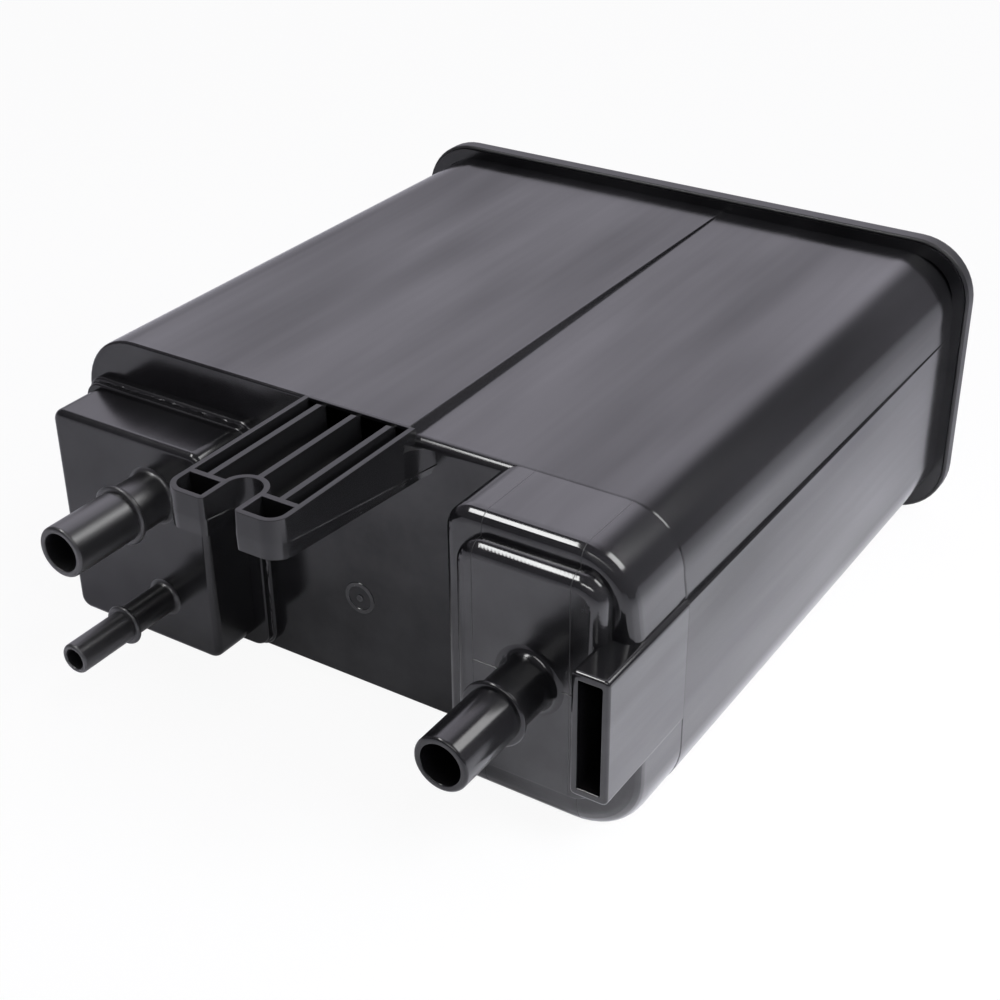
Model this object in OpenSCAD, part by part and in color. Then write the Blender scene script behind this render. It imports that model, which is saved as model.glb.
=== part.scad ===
// Charcoal canister for a fuel tank's vapour system, with its carbon beds, filters and springs.
// X runs across the front, Y from the nipple end to the welded cover, Z up.
// The origin is under the middle of the whole part, on the surface that it stands on.

/* [Body] */
// Width of the moulded body
body_w = 208.5; // [180:0.5:260]
// Height of the moulded body
body_h = 93.5; // [84:0.5:130]
// Length from the front face to the weld flange
body_l = 190.4; // [150:0.2:260]
// Radius of the four long edges
corner_r = 20; // [10:0.5:26]
// Wall thickness of the shell
wall = 2.5; // [1.8:0.1:3.5]
// Ridge between the two chambers, measured from the body's middle
ridge_x = 17.9; // [8:0.1:24]
// Thickness of the partition under the ridge
partition_t = 2.2; // [1.6:0.1:3.5]
// Height of the passage behind the partition, which joins the two chambers at the cover
passage_l = 12; // [6:0.5:14]
// How far the vent side's top is set down at the front
step_front = 2.4; // [1:0.1:3.5]
// How far the vent side's top is set down at the flange
step_back = 0.5; // [0.2:0.1:1]
// Height of the side ledge above the body's underside
ledge_h = 66.5; // [58:0.5:70]

/* [Weld flange and cover] */
// Reach of the body's weld flange beyond the walls
flange_over = 3; // [2:0.1:5]
// Thickness of the body's weld flange
flange_t = 3.2; // [2:0.1:5]
// Thickness of the cover's skirt around the flange
skirt_t = 1; // [0.8:0.1:2]
// Gap between the flange and the skirt
skirt_gap = 0.2; // [0.1:0.05:0.5]
// How far the skirt stops short of the flange's front
skirt_back = 0.6; // [0.2:0.1:1.5]
// Thickness of the cover's plate
cover_t = 4.5; // [3:0.1:7]
// Height of the raised field on the cover's back
field_h = 2; // [1:0.1:4]
// Margin around the raised field
field_margin = 14; // [8:0.5:24]
// Corner radius of the rim, less that of the body
rim_r_more = -1.1; // [-3:0.1:2]

/* [Vent chamber] */
// Left side of the raised chamber, measured from the body's middle
chamber_x = 44.7; // [40:0.1:48]
// Depth of the raised chamber in front of the face
chamber_d = 24.2; // [18:0.2:32]
// Radius of the chamber's front edges
chamber_edge_r = 4; // [2:0.25:5]
// Radius of the chamber's lower front edge
chamber_low_r = 9.4; // [5:0.2:10]
// Radius of the chamber's left long edges
chamber_side_r = 5.6; // [5:0.2:8]
// Wall around the hollow of the chamber
chamber_wall = 6; // [4:0.5:8]
// Thickness of the boss plate on the chamber
boss_plate_t = 4.9; // [3:0.1:8]
// Width of the boss plate
boss_plate_w = 44.8; // [38:0.2:46]
// Height of the boss plate
boss_plate_h = 69; // [50:0.2:70]
// Left side of the boss plate from the chamber's left side
boss_plate_x = 6.1; // [5:0.1:10]
// Underside of the boss plate above the body's underside
boss_plate_z = 16; // [14:0.2:20]
// Radius of the boss plate's corners
boss_plate_r = 8; // [6:0.5:9]

/* [Clip pocket] */
// Width of the clip pocket
pocket_w = 11; // [9.5:0.1:13]
// Height of the clip pocket
pocket_h = 38.4; // [36:0.2:42]
// How far the pocket's top stands above the ledge
pocket_up = 0.4; // [0.2:0.1:1.5]
// Front of the clip pocket, in front of the face
pocket_d = 40.4; // [34:0.2:46]
// Width of the pocket's opening
pocket_open_w = 6.8; // [5:0.1:8]
// Height of the pocket's opening
pocket_open_h = 33.4; // [24:0.2:34]
// Depth of the pocket's opening
pocket_open_d = 37; // [25:0.5:38]

/* [Mounting bracket] */
// Width of the bracket
bracket_w = 38.5; // [34:0.5:48]
// Reach of the bracket in front of the face
bracket_l = 59.2; // [56:0.2:75]
// Height of the bracket at its tip
bracket_h = 11.4; // [9:0.2:16]
// Extra height of the bracket at its root
bracket_root = 5; // [1:0.2:8]
// Middle of the bracket, measured from the body's middle
bracket_x = 0.4; // [-4:0.1:1]
// Width of the slot for the stud
slot_w = 9.8; // [8.4:0.1:11]
// Distance from the face to the centre of the slot's round end
slot_y = 48.6; // [44:0.2:50]
// Thickness of the bracket's ribs
rib_t = 2; // [1.5:0.1:2.5]
// Thickness of the bracket's floor
bracket_floor = 2; // [1.5:0.1:3]
// Distance of the two inner ribs from the bracket's middle
rib_pitch = 12; // [10.5:0.1:13.5]
// Radius of the bracket's front corners
bracket_r = 6; // [5:0.5:7]
// Radius of the fillet where the bracket meets the face
bracket_root_r = 7; // [4:0.5:9]

/* [Port cap] */
// Width of the cap's box
cap_w = 58.2; // [52:0.2:60]
// Height of the cap's box
cap_h = 70.8; // [64:0.2:72]
// Depth of the cap in front of the face
cap_d = 21.9; // [18:0.1:26]
// Left side of the cap's box from the body's left wall
cap_x = 5.5; // [4:0.1:8]
// Underside of the cap's box above the body's underside
cap_z = 6.5; // [5.5:0.1:8]
// Wall thickness of the cap
cap_wall = 2.2; // [1.8:0.1:3]
// Corner radius of the cap's box
cap_r = 4; // [3:0.25:6]
// Radius of the cap's front edges
cap_edge_r = 2.2; // [1:0.1:2.8]
// Reach of the cap's weld flange beyond its box on the left
cap_flange_left = 2.3; // [1.5:0.1:3.5]
// Reach of the cap's weld flange beyond its box on the right
cap_flange_right = 4.9; // [2:0.1:6]
// Reach of the cap's weld flange below its box
cap_flange_low = 3.6; // [2:0.1:4]
// Reach of the cap's weld flange above its box
cap_flange_top = 1.6; // [1:0.1:3]
// Corner radius of the cap's weld flange
cap_flange_r = 6; // [4:0.25:8]
// Thickness of the cap's weld flange
cap_flange_t = 2.2; // [1.6:0.1:4]
// Thickness of the raised pad that the cap is welded to
pad_t = 2.7; // [1.5:0.1:4]
// Reach of the pad beyond the cap's flange
pad_over = 1.2; // [0.6:0.1:2]

/* [Nipples] */
// Outside diameter of the two large nipples
large_od = 15.82; // [14:0.02:18]
// Bore of the two large nipples
large_bore = 11.8; // [9:0.1:12.4]
// Outside diameter of the purge nipple
small_od = 9.49; // [7.8:0.01:12]
// Bore of the purge nipple
small_bore = 6.4; // [4:0.1:6.6]
// How far a bead stands out from its nipple
bead_out = 1.6; // [1:0.1:2]
// Length of a bead along its nipple
bead_l = 2; // [1.4:0.1:3]
// Length from the tip to the bead on the large nipples
large_tip = 24; // [20:0.2:26]
// Length from the tip to the bead on the purge nipple
small_tip = 20.8; // [16:0.2:24]
// Length behind the bead of the vent nipple
vent_neck = 16.5; // [10:0.1:22]
// Length behind the bead of the tank nipple
tank_neck = 13.4; // [10:0.1:22]
// Length behind the bead of the purge nipple
purge_neck = 17.7; // [10:0.1:22]
// Chamfer at the nipples' tips
tip_chamfer = 0.8; // [0.4:0.1:1.2]
// Size of the flare where a nipple meets its wall
base_flare = 3; // [1:0.1:3.4]
// Vent nipple's centre from the left side of the boss plate
vent_x = 23.6; // [18:0.1:26]
// Vent nipple's centre above the underside of the boss plate
vent_z = 33.3; // [26:0.1:40]
// Tank nipple's centre from the cap's left side
tank_x = 38.2; // [28:0.1:42]
// Tank nipple's centre above the cap's underside
tank_z = 52.4; // [46:0.1:54]
// Purge nipple's centre from the cap's left side
purge_x = 38.2; // [26:0.1:42]
// Purge nipple's centre above the cap's underside
purge_z = 16.7; // [12:0.1:20]

/* [Inside] */
// Thickness of the felt pads
felt_t = 3; // [2:0.1:5]
// Thickness of the moulded grids
grid_t = 2; // [1.5:0.1:3]
// Thickness of the bars between the grids' windows
grid_bar = 3; // [2:0.1:5]
// Size of the grids' windows
grid_window = 10; // [7:0.5:14]
// Solid margin around the grids' windows
grid_margin = 4; // [3:0.5:6]
// Length of the pegs that hold the main grid off the front wall
peg_l = 8; // [4:0.5:14]
// Diameter of those pegs
peg_d = 6; // [4:0.5:8]
// Thickness of the spring-loaded retainer plates
retainer_t = 2.5; // [2:0.1:4]
// Side clearance of the pieces in a chamber
fit_gap = 0.25; // [0.15:0.05:0.4]
// Thickness of the dust foam in the port cap
cap_foam_t = 10; // [4:0.5:11]
// Thickness of the dust foam in the vent chamber
vent_foam_t = 14; // [6:0.5:14.5]

/* [Springs] */
// Working length of the springs
spring_l = 20; // [16:0.5:30]
// Diameter of the springs' coil, wire middle to wire middle
spring_d = 20; // [14:0.5:24]
// Diameter of the springs' wire
spring_wire = 1.8; // [1.2:0.1:2.2]
// Turns of each spring
spring_turns = 4.5; // [3.5:0.5:5.5]
// Height of the bosses that the springs sit over
seat_h = 3; // [2:0.25:5]
// Clearance between a boss and its spring
seat_gap = 0.4; // [0.2:0.05:0.8]
// Thickness of a boss's round plate over the windows, beyond the spring
seat_rim = 2; // [1:0.25:3]

/* [Hidden] */
$fn = 64;
mould_step = 0.15;
root_in = 0.15;
root_bite = 0.6;
corner_steps = 8;
plate_low_r = 0.5;
flare_in = 0.3;
bite = 1;
past = 1;

// Outline of the body and the cover
cover_over = flange_over + skirt_gap + skirt_t;
body_z0 = cover_over;
body_z1 = body_z0 + body_h;
half_w = body_w / 2;
ledge_z = body_z0 + ledge_h;
right_top = body_z1 - step_front;
right_x = half_w - step_front;

// Places along the length
flange_y = body_l + flange_t;
cover_y = flange_y + cover_t;
back_y = cover_y + field_h;
retainer_y = flange_y - spring_l - retainer_t;
rear_felt_y = retainer_y - felt_t;
main_grid_y = wall + peg_l;
vent_grid_y = wall;

// Raised vent chamber, its boss plate and the clip pocket
plate_x0 = chamber_x + boss_plate_x;
plate_z0 = body_z0 + boss_plate_z;
plate_y = -chamber_d - boss_plate_t;
hollow_x0 = chamber_x + chamber_wall;
hollow_x1 = half_w - pocket_w - chamber_wall / 2;
hollow_z0 = body_z0 + chamber_wall + chamber_low_r / 2;
hollow_z1 = right_top - chamber_wall;
pocket_z0 = ledge_z + pocket_up - pocket_h;
pocket_wall_x = (pocket_w - pocket_open_w) / 2;
pocket_wall_z = (pocket_h - pocket_open_h) / 2;

// Port cap, its flange and the pad behind it
cap_x0 = cap_x - half_w;
cap_z0 = body_z0 + cap_z;
window_n = [2, 2];

// Nipples: x, z, face, neck, tip length, outside diameter, bore
vent = [plate_x0 + vent_x, plate_z0 + vent_z, plate_y, vent_neck, large_tip, large_od, large_bore];
tank = [cap_x0 + tank_x, cap_z0 + tank_z, -cap_d, tank_neck, large_tip, large_od, large_bore];
purge = [cap_x0 + purge_x, cap_z0 + purge_z, -cap_d, purge_neck, small_tip, small_od, small_bore];
front_y = min(vent[2] - vent_neck - large_tip, -bracket_l, purge[2] - purge_neck - small_tip);
mid_y = (front_y + back_y) / 2;

// Chambers as x0, z0, x1, z1, radius on the outer side
inner_r = corner_r - wall;
main_box = [-half_w + wall, body_z0 + wall, ridge_x - partition_t, body_z1 - wall];
vent_box = [ridge_x, body_z0 + wall, right_x - wall, right_top - wall];

// Pegs of the main grid: half way between the side wall and the front wall's windows
peg_in = max(peg_d / 2 + 2 * fit_gap, (cap_x0 + cap_wall + cap_r - main_box[0]) / 2);

// Springs' places across and up, as shares of a chamber
main_seats = [[0.25, 0.27], [0.75, 0.27], [0.25, 0.73], [0.75, 0.73]];
vent_seats = [[0.5, 0.27], [0.5, 0.73]];
seat_r = (spring_d - spring_wire) / 2 - seat_gap;
seat_plate_r = (spring_d + spring_wire) / 2 + seat_rim;

body_colour = [0.1, 0.1, 0.105];
felt_colour = [0.75, 0.74, 0.7];
carbon_colour = [0.05, 0.05, 0.05];
grid_colour = [0.16, 0.16, 0.17];
steel_colour = [0.62, 0.63, 0.65];
foam_colour = [0.3, 0.31, 0.33];

function seat(box, share) = [box[0] + (box[2] - box[0]) * share[0], box[1] + (box[3] - box[1]) * share[1]];
function shrink(box, gap) = [box[0] + gap, box[1] + gap, box[2] - gap, box[3] - gap];
// How far a rounded edge of radius r draws in at a distance t from the face that it meets
function edge_inset(r, t) = t >= r ? 0 : r - sqrt(r * r - (r - t) * (r - t));

module placed() {
    translate([0, -mid_y, 0]) children();
}

// A flat outline in X and Z, made solid from y0 to y1
module slab(y0, y1) {
    translate([0, y1, 0]) rotate([90, 0, 0]) linear_extrude(y1 - y0) children();
}

// A flat outline in X and Y, made solid from z0 to z1
module layer(z0, z1) {
    translate([0, 0, z0]) linear_extrude(z1 - z0) children();
}

module rounded_rect(x0, z0, x1, z1, r) {
    translate([x0 + r, z0]) square([x1 - x0 - 2 * r, z1 - z0]);
    translate([x0, z0 + r]) square([x1 - x0, z1 - z0 - 2 * r]);
    for (x = [x0 + r, x1 - r], z = [z0 + r, z1 - r]) translate([x, z]) circle(r);
}

module body_outline(grow) {
    rounded_rect(-half_w - grow, body_z0 - grow, half_w + grow, body_z1 + grow, corner_r + grow);
}

// Outline of the rim, whose corners are rounded less than those of the body
module rim_outline(grow) {
    r = corner_r + rim_r_more + grow - flange_over;
    rounded_rect(-half_w - grow, body_z0 - grow, half_w + grow, body_z1 + grow, r);
}

// Outline of the cap's weld flange, and of the pad that stands out around it
module cap_flange_outline(grow) {
    rounded_rect(cap_x0 - cap_flange_left - grow, cap_z0 - cap_flange_low - grow,
        cap_x0 + cap_w + cap_flange_right + grow, cap_z0 + cap_h + cap_flange_top + grow, cap_flange_r + grow);
}

// Points around a rounded outline in the plane y, for a box x0, z0, x1, z1 and a radius on each side
function ring(y, box, r_left, r_right, r_low) =
    [for (c = [[box[0] + r_left, box[1] + r_left, r_left, 180], [box[2] - r_low, box[1] + r_low, r_low, 270],
               [box[2] - r_right, box[3] - r_right, r_right, 0], [box[0] + r_left, box[3] - r_left, r_left, 90]])
        for (k = [0 : corner_steps])
            let (a = c[3] + 90 * k / corner_steps)
            [c[0] + c[2] * cos(a), y, c[1] + c[2] * sin(a)]];

// A solid through rings of points that follow each other along Y
module loft(rings) {
    n = len(rings[0]);
    last = (len(rings) - 1) * n;
    sides = [for (i = [0 : len(rings) - 2], k = [0 : n - 1])
        let (a = i * n + k, b = i * n + (k + 1) % n)
        each [[a, b, b + n], [a, b + n, a + n]]];
    ends = [[for (k = [n - 1 : -1 : 0]) k], [for (k = [0 : n - 1]) last + k]];
    polyhedron([for (g = rings) each g], concat(sides, ends));
}

// A block from its front at y to the last of its stops, with rounded front edges
module block(y, stops, box, r_left, r_right, r_low, edge_r, low_r) {
    loft([for (t = stops)
        let (in = edge_inset(edge_r, t), low_in = edge_inset(low_r, t))
        ring(y + t, [box[0] + in, box[1] + low_in, box[2] - in, box[3] - in],
            r_left - in, r_right - in, r_low - in)]);
}

// Points around the upper vent side in the plane y, set in from the main outline by step
function vent_side_ring(y, step) =
    let (r = corner_r - step, x = half_w - step, z = body_z1 - step)
    concat([[ridge_x - bite, y, ledge_z - bite], [x, y, ledge_z - bite]],
        [for (k = [0 : corner_steps])
            let (a = 90 * k / corner_steps)
            [x - r + r * cos(a), y, z - r + r * sin(a)]],
        [[ridge_x - bite, y, z]]);

// The main shell's outside: a rounded box whose upper vent side tapers in towards the front
module shell_outside() {
    difference() {
        slab(0, body_l + bite) body_outline(0);
        translate([ridge_x, -past, ledge_z]) cube([half_w, body_l + bite + 2 * past, body_h]);
    }
    loft([vent_side_ring(0, step_front), vent_side_ring(body_l + bite, step_back)]);
    slab(body_l, flange_y) rim_outline(flange_over);
}

// The raised chamber is set in a little from the body's sides, as at a mould's parting line
module raised_chamber() {
    stops = [0, chamber_edge_r * 0.3, chamber_edge_r, chamber_low_r, chamber_d + bite];
    z0 = body_z0 + mould_step;
    z1 = right_top - mould_step;
    block(-chamber_d, stops, [chamber_x, z0, right_x - mould_step, z1], chamber_side_r,
        corner_r - step_front - mould_step, corner_r, chamber_edge_r, chamber_low_r);
    intersection() {
        block(-chamber_d, stops, [half_w - 2 * corner_r, z0, half_w - mould_step, z1], chamber_side_r,
            chamber_side_r, corner_r - mould_step, chamber_edge_r, chamber_low_r);
        translate([0, -chamber_d - past, 0])
            cube([half_w + past, chamber_d + bite + 2 * past, ledge_z - mould_step]);
    }
    block(plate_y, [0, chamber_edge_r * 0.3, chamber_edge_r, boss_plate_t + bite],
        [plate_x0, plate_z0, plate_x0 + boss_plate_w, plate_z0 + boss_plate_h],
        boss_plate_r, boss_plate_r, boss_plate_r, chamber_edge_r, plate_low_r);
}

module clip_pocket() {
    slab(-pocket_d, -chamber_d + chamber_low_r)
        rounded_rect(half_w - pocket_w, pocket_z0, half_w, pocket_z0 + pocket_h, pocket_wall_x / 2);
}

module clip_pocket_opening() {
    translate([half_w - pocket_w + pocket_wall_x, -pocket_d - past, pocket_z0 + pocket_wall_z])
        cube([pocket_open_w, pocket_open_d + past, pocket_open_h]);
}

module nipple(n) {
    r = n[5] / 2;
    bead_y = n[3];
    tip_y = n[3] + n[4];
    translate([n[0], n[2], n[1]]) rotate([90, 0, 0]) rotate_extrude()
        polygon([[0, -bite], [r + base_flare + bite * (1 / flare_in - 1), -bite],
            [r + base_flare * flare_in, base_flare * flare_in], [r, base_flare],
            [r, bead_y - bead_l / 2], [r + bead_out, bead_y - bead_l / 4],
            [r + bead_out, bead_y + bead_l / 4], [r, bead_y + bead_l / 2], [r, tip_y - 2 * tip_chamfer],
            [r - tip_chamfer, tip_y], [0, tip_y]]);
}

module nipple_bore(n, depth) {
    translate([n[0], n[2] + depth, n[1]]) rotate([90, 0, 0])
        cylinder(d = n[6], h = depth + n[3] + n[4] + past);
}

// Plan of the bracket, seen from above, with its open slot
module bracket_plan() {
    x0 = bracket_x - bracket_w / 2;
    difference() {
        union() {
            translate([x0, -bracket_l + bracket_r]) square([bracket_w, bracket_l - bracket_r + root_bite]);
            translate([x0 + bracket_r, -bracket_l]) square([bracket_w - 2 * bracket_r, bracket_r + past]);
            for (x = [x0 + bracket_r, x0 + bracket_w - bracket_r])
                translate([x, -bracket_l + bracket_r]) circle(bracket_r);
        }
        slot_plan(slot_w / 2);
    }
}

module slot_plan(r) {
    translate([bracket_x, -slot_y]) circle(r);
    translate([bracket_x - r, -bracket_l - past]) square([2 * r, bracket_l - slot_y + past]);
}

// Pockets between the bracket's ribs, open at the top
module bracket_pockets() {
    cross_y = -slot_y - rib_t / 2;
    rails = [bracket_w / 2 - rib_t, rib_pitch + rib_t / 2, rib_pitch - rib_t / 2, rib_t / 2];
    layer(body_z1 - bracket_h + bracket_floor, body_z1 + past) difference() {
        for (side = [-1, 1]) translate([bracket_x, 0]) {
            for (pair = [[rails[0], rails[1]], [rails[2], rails[3]]])
                translate([side > 0 ? pair[1] : -pair[0], cross_y + rib_t])
                    square([pair[0] - pair[1], -cross_y - 2 * rib_t]);
            translate([side > 0 ? slot_w / 2 + rib_t : -rails[0], rib_t - bracket_l])
                square([rails[0] - slot_w / 2 - rib_t, bracket_l + cross_y - rib_t]);
        }
        slot_plan(slot_w / 2 + rib_t);
        for (side = [-1, 1]) translate([bracket_x + side * (bracket_w / 2 - rib_t / 2), -bracket_l + rib_t / 2])
            rotate(45) square(bracket_r, center = true);
    }
}

module bracket() {
    difference() {
        intersection() {
            layer(body_z1 - bracket_h - bracket_root, body_z1) bracket_plan();
            translate([bracket_x - bracket_w, 0, 0]) rotate([90, 0, 90]) linear_extrude(2 * bracket_w)
                polygon([[wall, body_z1 + past], [-bracket_l - past, body_z1 + past],
                    [-bracket_l - past, body_z1 - bracket_h], [-slot_y, body_z1 - bracket_h],
                    [wall, body_z1 - bracket_h - bracket_root]]);
        }
        bracket_pockets();
    }
    layer(body_z1 - bracket_h - bracket_root, right_top - step_front / 2)
        translate([bracket_x + bracket_w / 2 - past, 0]) difference() {
            translate([0, -bracket_root_r]) square([bracket_root_r + past, bracket_root_r + past]);
            translate([bracket_root_r + past - root_in, root_in - bracket_root_r]) circle(bracket_root_r);
        }
}

// Windows through the front wall behind the port cap
module front_windows() {
    x0 = cap_x0 + cap_wall + cap_r;
    z0 = cap_z0 + cap_wall + cap_r;
    pitch_x = (cap_w - 2 * (cap_wall + cap_r) + grid_bar) / window_n[0];
    pitch_z = (cap_h - 2 * (cap_wall + cap_r) + grid_bar) / window_n[1];
    for (i = [0 : window_n[0] - 1], k = [0 : window_n[1] - 1])
        translate([x0 + i * pitch_x, -pad_t - past, z0 + k * pitch_z])
            cube([pitch_x - grid_bar, pad_t + wall + 2 * past, pitch_z - grid_bar]);
}

// Inside outline of a chamber: the rounded shell's inside, cut off at the partition
module main_inside(gap) {
    b = shrink(main_box, gap);
    intersection() {
        rounded_rect(b[0], b[1], b[2] + 2 * corner_r, b[3], inner_r - gap);
        translate([b[0], b[1]]) square([b[2] - b[0], b[3] - b[1]]);
    }
}

module vent_inside(gap) {
    b = shrink(vent_box, gap);
    intersection() {
        rounded_rect(b[0] - 2 * corner_r, b[1], b[2], b[3], inner_r - step_front - gap);
        translate([b[0], b[1]]) square([b[2] - b[0], b[3] - b[1]]);
    }
}

// The passage behind the partition, from one chamber to the other
module rear_passage() {
    translate([main_box[2] - bite, flange_y - passage_l, vent_box[1] + bite])
        cube([vent_box[0] - main_box[2] + 2 * bite, passage_l + past, vent_box[3] - vent_box[1] - 2 * bite]);
}

module vent_hollow_outline(gap) {
    rounded_rect(hollow_x0 + gap, hollow_z0 + gap, hollow_x1 - gap, hollow_z1 - gap, chamber_side_r - gap);
}

module canister_body() {
    color(body_colour) placed() difference() {
        union() {
            shell_outside();
            raised_chamber();
            clip_pocket();
            bracket();
            nipple(vent);
            slab(-pad_t, wall) cap_flange_outline(pad_over);
        }
        slab(wall, flange_y + past) main_inside(0);
        slab(wall, flange_y + past) vent_inside(0);
        rear_passage();
        slab(wall - chamber_d, wall + past) vent_hollow_outline(0);
        front_windows();
        clip_pocket_opening();
        nipple_bore(vent, boss_plate_t + wall + past);
    }
}

module port_cap() {
    color(body_colour) placed() difference() {
        union() {
            block(-cap_d, [0, cap_edge_r * 0.3, cap_edge_r, cap_d - pad_t - cap_flange_t / 2],
                [cap_x0, cap_z0, cap_x0 + cap_w, cap_z0 + cap_h], cap_r, cap_r, cap_r, cap_edge_r, cap_edge_r);
            slab(-pad_t - cap_flange_t, -pad_t) cap_flange_outline(0);
            nipple(tank);
            nipple(purge);
        }
        slab(cap_wall - cap_d, past) cap_inside(0);
        nipple_bore(tank, cap_wall + past);
        nipple_bore(purge, cap_wall + past);
    }
}

module cap_inside(gap) {
    rounded_rect(cap_x0 + cap_wall + gap, cap_z0 + cap_wall + gap, cap_x0 + cap_w - cap_wall - gap,
        cap_z0 + cap_h - cap_wall - gap, cap_r - cap_wall / 2 - gap);
}

module rear_cover() {
    color(body_colour) placed() {
        difference() {
            slab(body_l + skirt_back, cover_y) rim_outline(cover_over);
            slab(body_l, flange_y) rim_outline(flange_over + skirt_gap);
        }
        slab(cover_y - bite, back_y) body_outline(-field_margin);
        for (s = main_seats) spring_boss(seat(main_box, s), flange_y - seat_h, flange_y + bite);
        for (s = vent_seats) spring_boss(seat(vent_box, s), flange_y - seat_h, flange_y + bite);
    }
}

module spring_boss(at, y0, y1) {
    slab(y0, y1) translate(at) circle(seat_r);
}

// Square windows that fill a chamber's box, centred in it
module grid_windows(box) {
    pitch = grid_window + grid_bar;
    room = [box[2] - box[0] - 2 * grid_margin, box[3] - box[1] - 2 * grid_margin];
    n = [floor((room[0] + grid_bar) / pitch), floor((room[1] + grid_bar) / pitch)];
    start = [(box[0] + box[2] - n[0] * pitch + grid_bar) / 2, (box[1] + box[3] - n[1] * pitch + grid_bar) / 2];
    for (i = [0 : n[0] - 1], k = [0 : n[1] - 1])
        translate([start[0] + i * pitch, start[1] + k * pitch]) square(grid_window);
}

// Pegs that stand on the front wall, beside its windows and near the partition
module main_pegs(d) {
    for (x = [main_box[0] + peg_in, main_box[2] - 2 * peg_in], share = [0.25, 0.5, 0.75])
        translate([x, main_box[1] + share * (main_box[3] - main_box[1])]) circle(d = d);
}

// The grid is solid around each peg, out to the bars next to it
module main_front_grid() {
    color(grid_colour) placed() {
        slab(main_grid_y, main_grid_y + grid_t) difference() {
            main_inside(fit_gap);
            difference() {
                grid_windows(main_box);
                main_pegs(grid_window + grid_bar);
            }
        }
        slab(wall, main_grid_y + grid_t) main_pegs(peg_d);
    }
}

module vent_front_grid() {
    color(grid_colour) placed() slab(vent_grid_y, vent_grid_y + grid_t) difference() {
        vent_inside(fit_gap);
        grid_windows(vent_box);
    }
}

// A spring-loaded plate: windows, with a solid round seat and a boss under each spring
module retainer(box, seats) {
    slab(retainer_y, retainer_y + retainer_t) {
        difference() {
            children();
            grid_windows(box);
        }
        for (s = seats) translate(seat(box, s)) circle(seat_plate_r);
    }
    for (s = seats) spring_boss(seat(box, s), retainer_y, retainer_y + retainer_t + seat_h);
}

module main_retainer() {
    color(grid_colour) placed() retainer(main_box, main_seats) main_inside(fit_gap);
}

module vent_retainer() {
    color(grid_colour) placed() retainer(vent_box, vent_seats) vent_inside(fit_gap);
}

module main_front_felt() {
    color(felt_colour) placed() slab(main_grid_y + grid_t, main_grid_y + grid_t + felt_t) main_inside(fit_gap);
}

module vent_front_felt() {
    color(felt_colour) placed() slab(vent_grid_y + grid_t, vent_grid_y + grid_t + felt_t) vent_inside(fit_gap);
}

module main_carbon_bed() {
    color(carbon_colour) placed() slab(main_grid_y + grid_t + felt_t, rear_felt_y) main_inside(fit_gap);
}

module vent_carbon_bed() {
    color(carbon_colour) placed() slab(vent_grid_y + grid_t + felt_t, rear_felt_y) vent_inside(fit_gap);
}

module main_rear_felt() {
    color(felt_colour) placed() slab(rear_felt_y, retainer_y) main_inside(fit_gap);
}

module vent_rear_felt() {
    color(felt_colour) placed() slab(rear_felt_y, retainer_y) vent_inside(fit_gap);
}

module port_cap_foam() {
    color(foam_colour) placed() slab(-pad_t - cap_foam_t, -pad_t) cap_inside(fit_gap);
}

module vent_chamber_foam() {
    color(foam_colour) placed() slab(vent_grid_y - vent_foam_t, vent_grid_y) vent_hollow_outline(fit_gap);
}

// One compression spring with closed ends, swept along its coil
spring_sides = 6;
spring_segments = 12;
spring_steps = spring_turns * spring_segments;
spring_end_gap = 0.05;
function spring_rise(turn) =
    let (closed = spring_wire, free = spring_l - spring_wire - 2 * spring_end_gap - 2 * closed)
    turn <= 1 ? turn * closed
        : turn >= spring_turns - 1 ? closed + free + (turn - spring_turns + 1) * closed
        : closed + free * (turn - 1) / (spring_turns - 2);
function spring_ring(i) =
    let (turn = i / spring_segments, a = 360 * turn, y = spring_wire / 2 + spring_end_gap + spring_rise(turn))
    [for (k = [0 : spring_sides - 1])
        let (b = 360 * k / spring_sides, r = spring_d / 2 + spring_wire / 2 * cos(b))
        [r * cos(a), y + spring_wire / 2 * sin(b), r * sin(a)]];

module spring(at) {
    points = [for (i = [0 : spring_steps]) each spring_ring(i)];
    last = spring_steps * spring_sides;
    sides = [for (i = [0 : spring_steps - 1], k = [0 : spring_sides - 1])
        let (a = i * spring_sides + k, b = i * spring_sides + (k + 1) % spring_sides)
        each [[a, b, b + spring_sides], [a, b + spring_sides, a + spring_sides]]];
    ends = [[for (k = [spring_sides - 1 : -1 : 0]) k], [for (k = [0 : spring_sides - 1]) last + k]];
    color(steel_colour) placed() translate([at[0], retainer_y + retainer_t, at[1]])
        polyhedron(points, concat(sides, ends));
}

module main_spring_1() { spring(seat(main_box, main_seats[0])); }
module main_spring_2() { spring(seat(main_box, main_seats[1])); }
module main_spring_3() { spring(seat(main_box, main_seats[2])); }
module main_spring_4() { spring(seat(main_box, main_seats[3])); }
module vent_spring_1() { spring(seat(vent_box, vent_seats[0])); }
module vent_spring_2() { spring(seat(vent_box, vent_seats[1])); }

canister_body();
port_cap();
rear_cover();
main_front_grid();
main_front_felt();
main_carbon_bed();
main_rear_felt();
main_retainer();
vent_front_grid();
vent_front_felt();
vent_carbon_bed();
vent_rear_felt();
vent_retainer();
main_spring_1();
main_spring_2();
main_spring_3();
main_spring_4();
vent_spring_1();
vent_spring_2();
port_cap_foam();
vent_chamber_foam();
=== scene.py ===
"""Charcoal canister for a fuel tank's vapours, dressed for its picture.

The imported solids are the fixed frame. The moulded body, its rear cover and its port cap are
modelled again here with rounded edges, fillets, mould lines and weld flash, and the pieces inside
get their finishes.
"""

import math
import random
from functools import partial
from typing import NamedTuple

import bmesh
import bpy
from mathutils import Matrix, Vector


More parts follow.
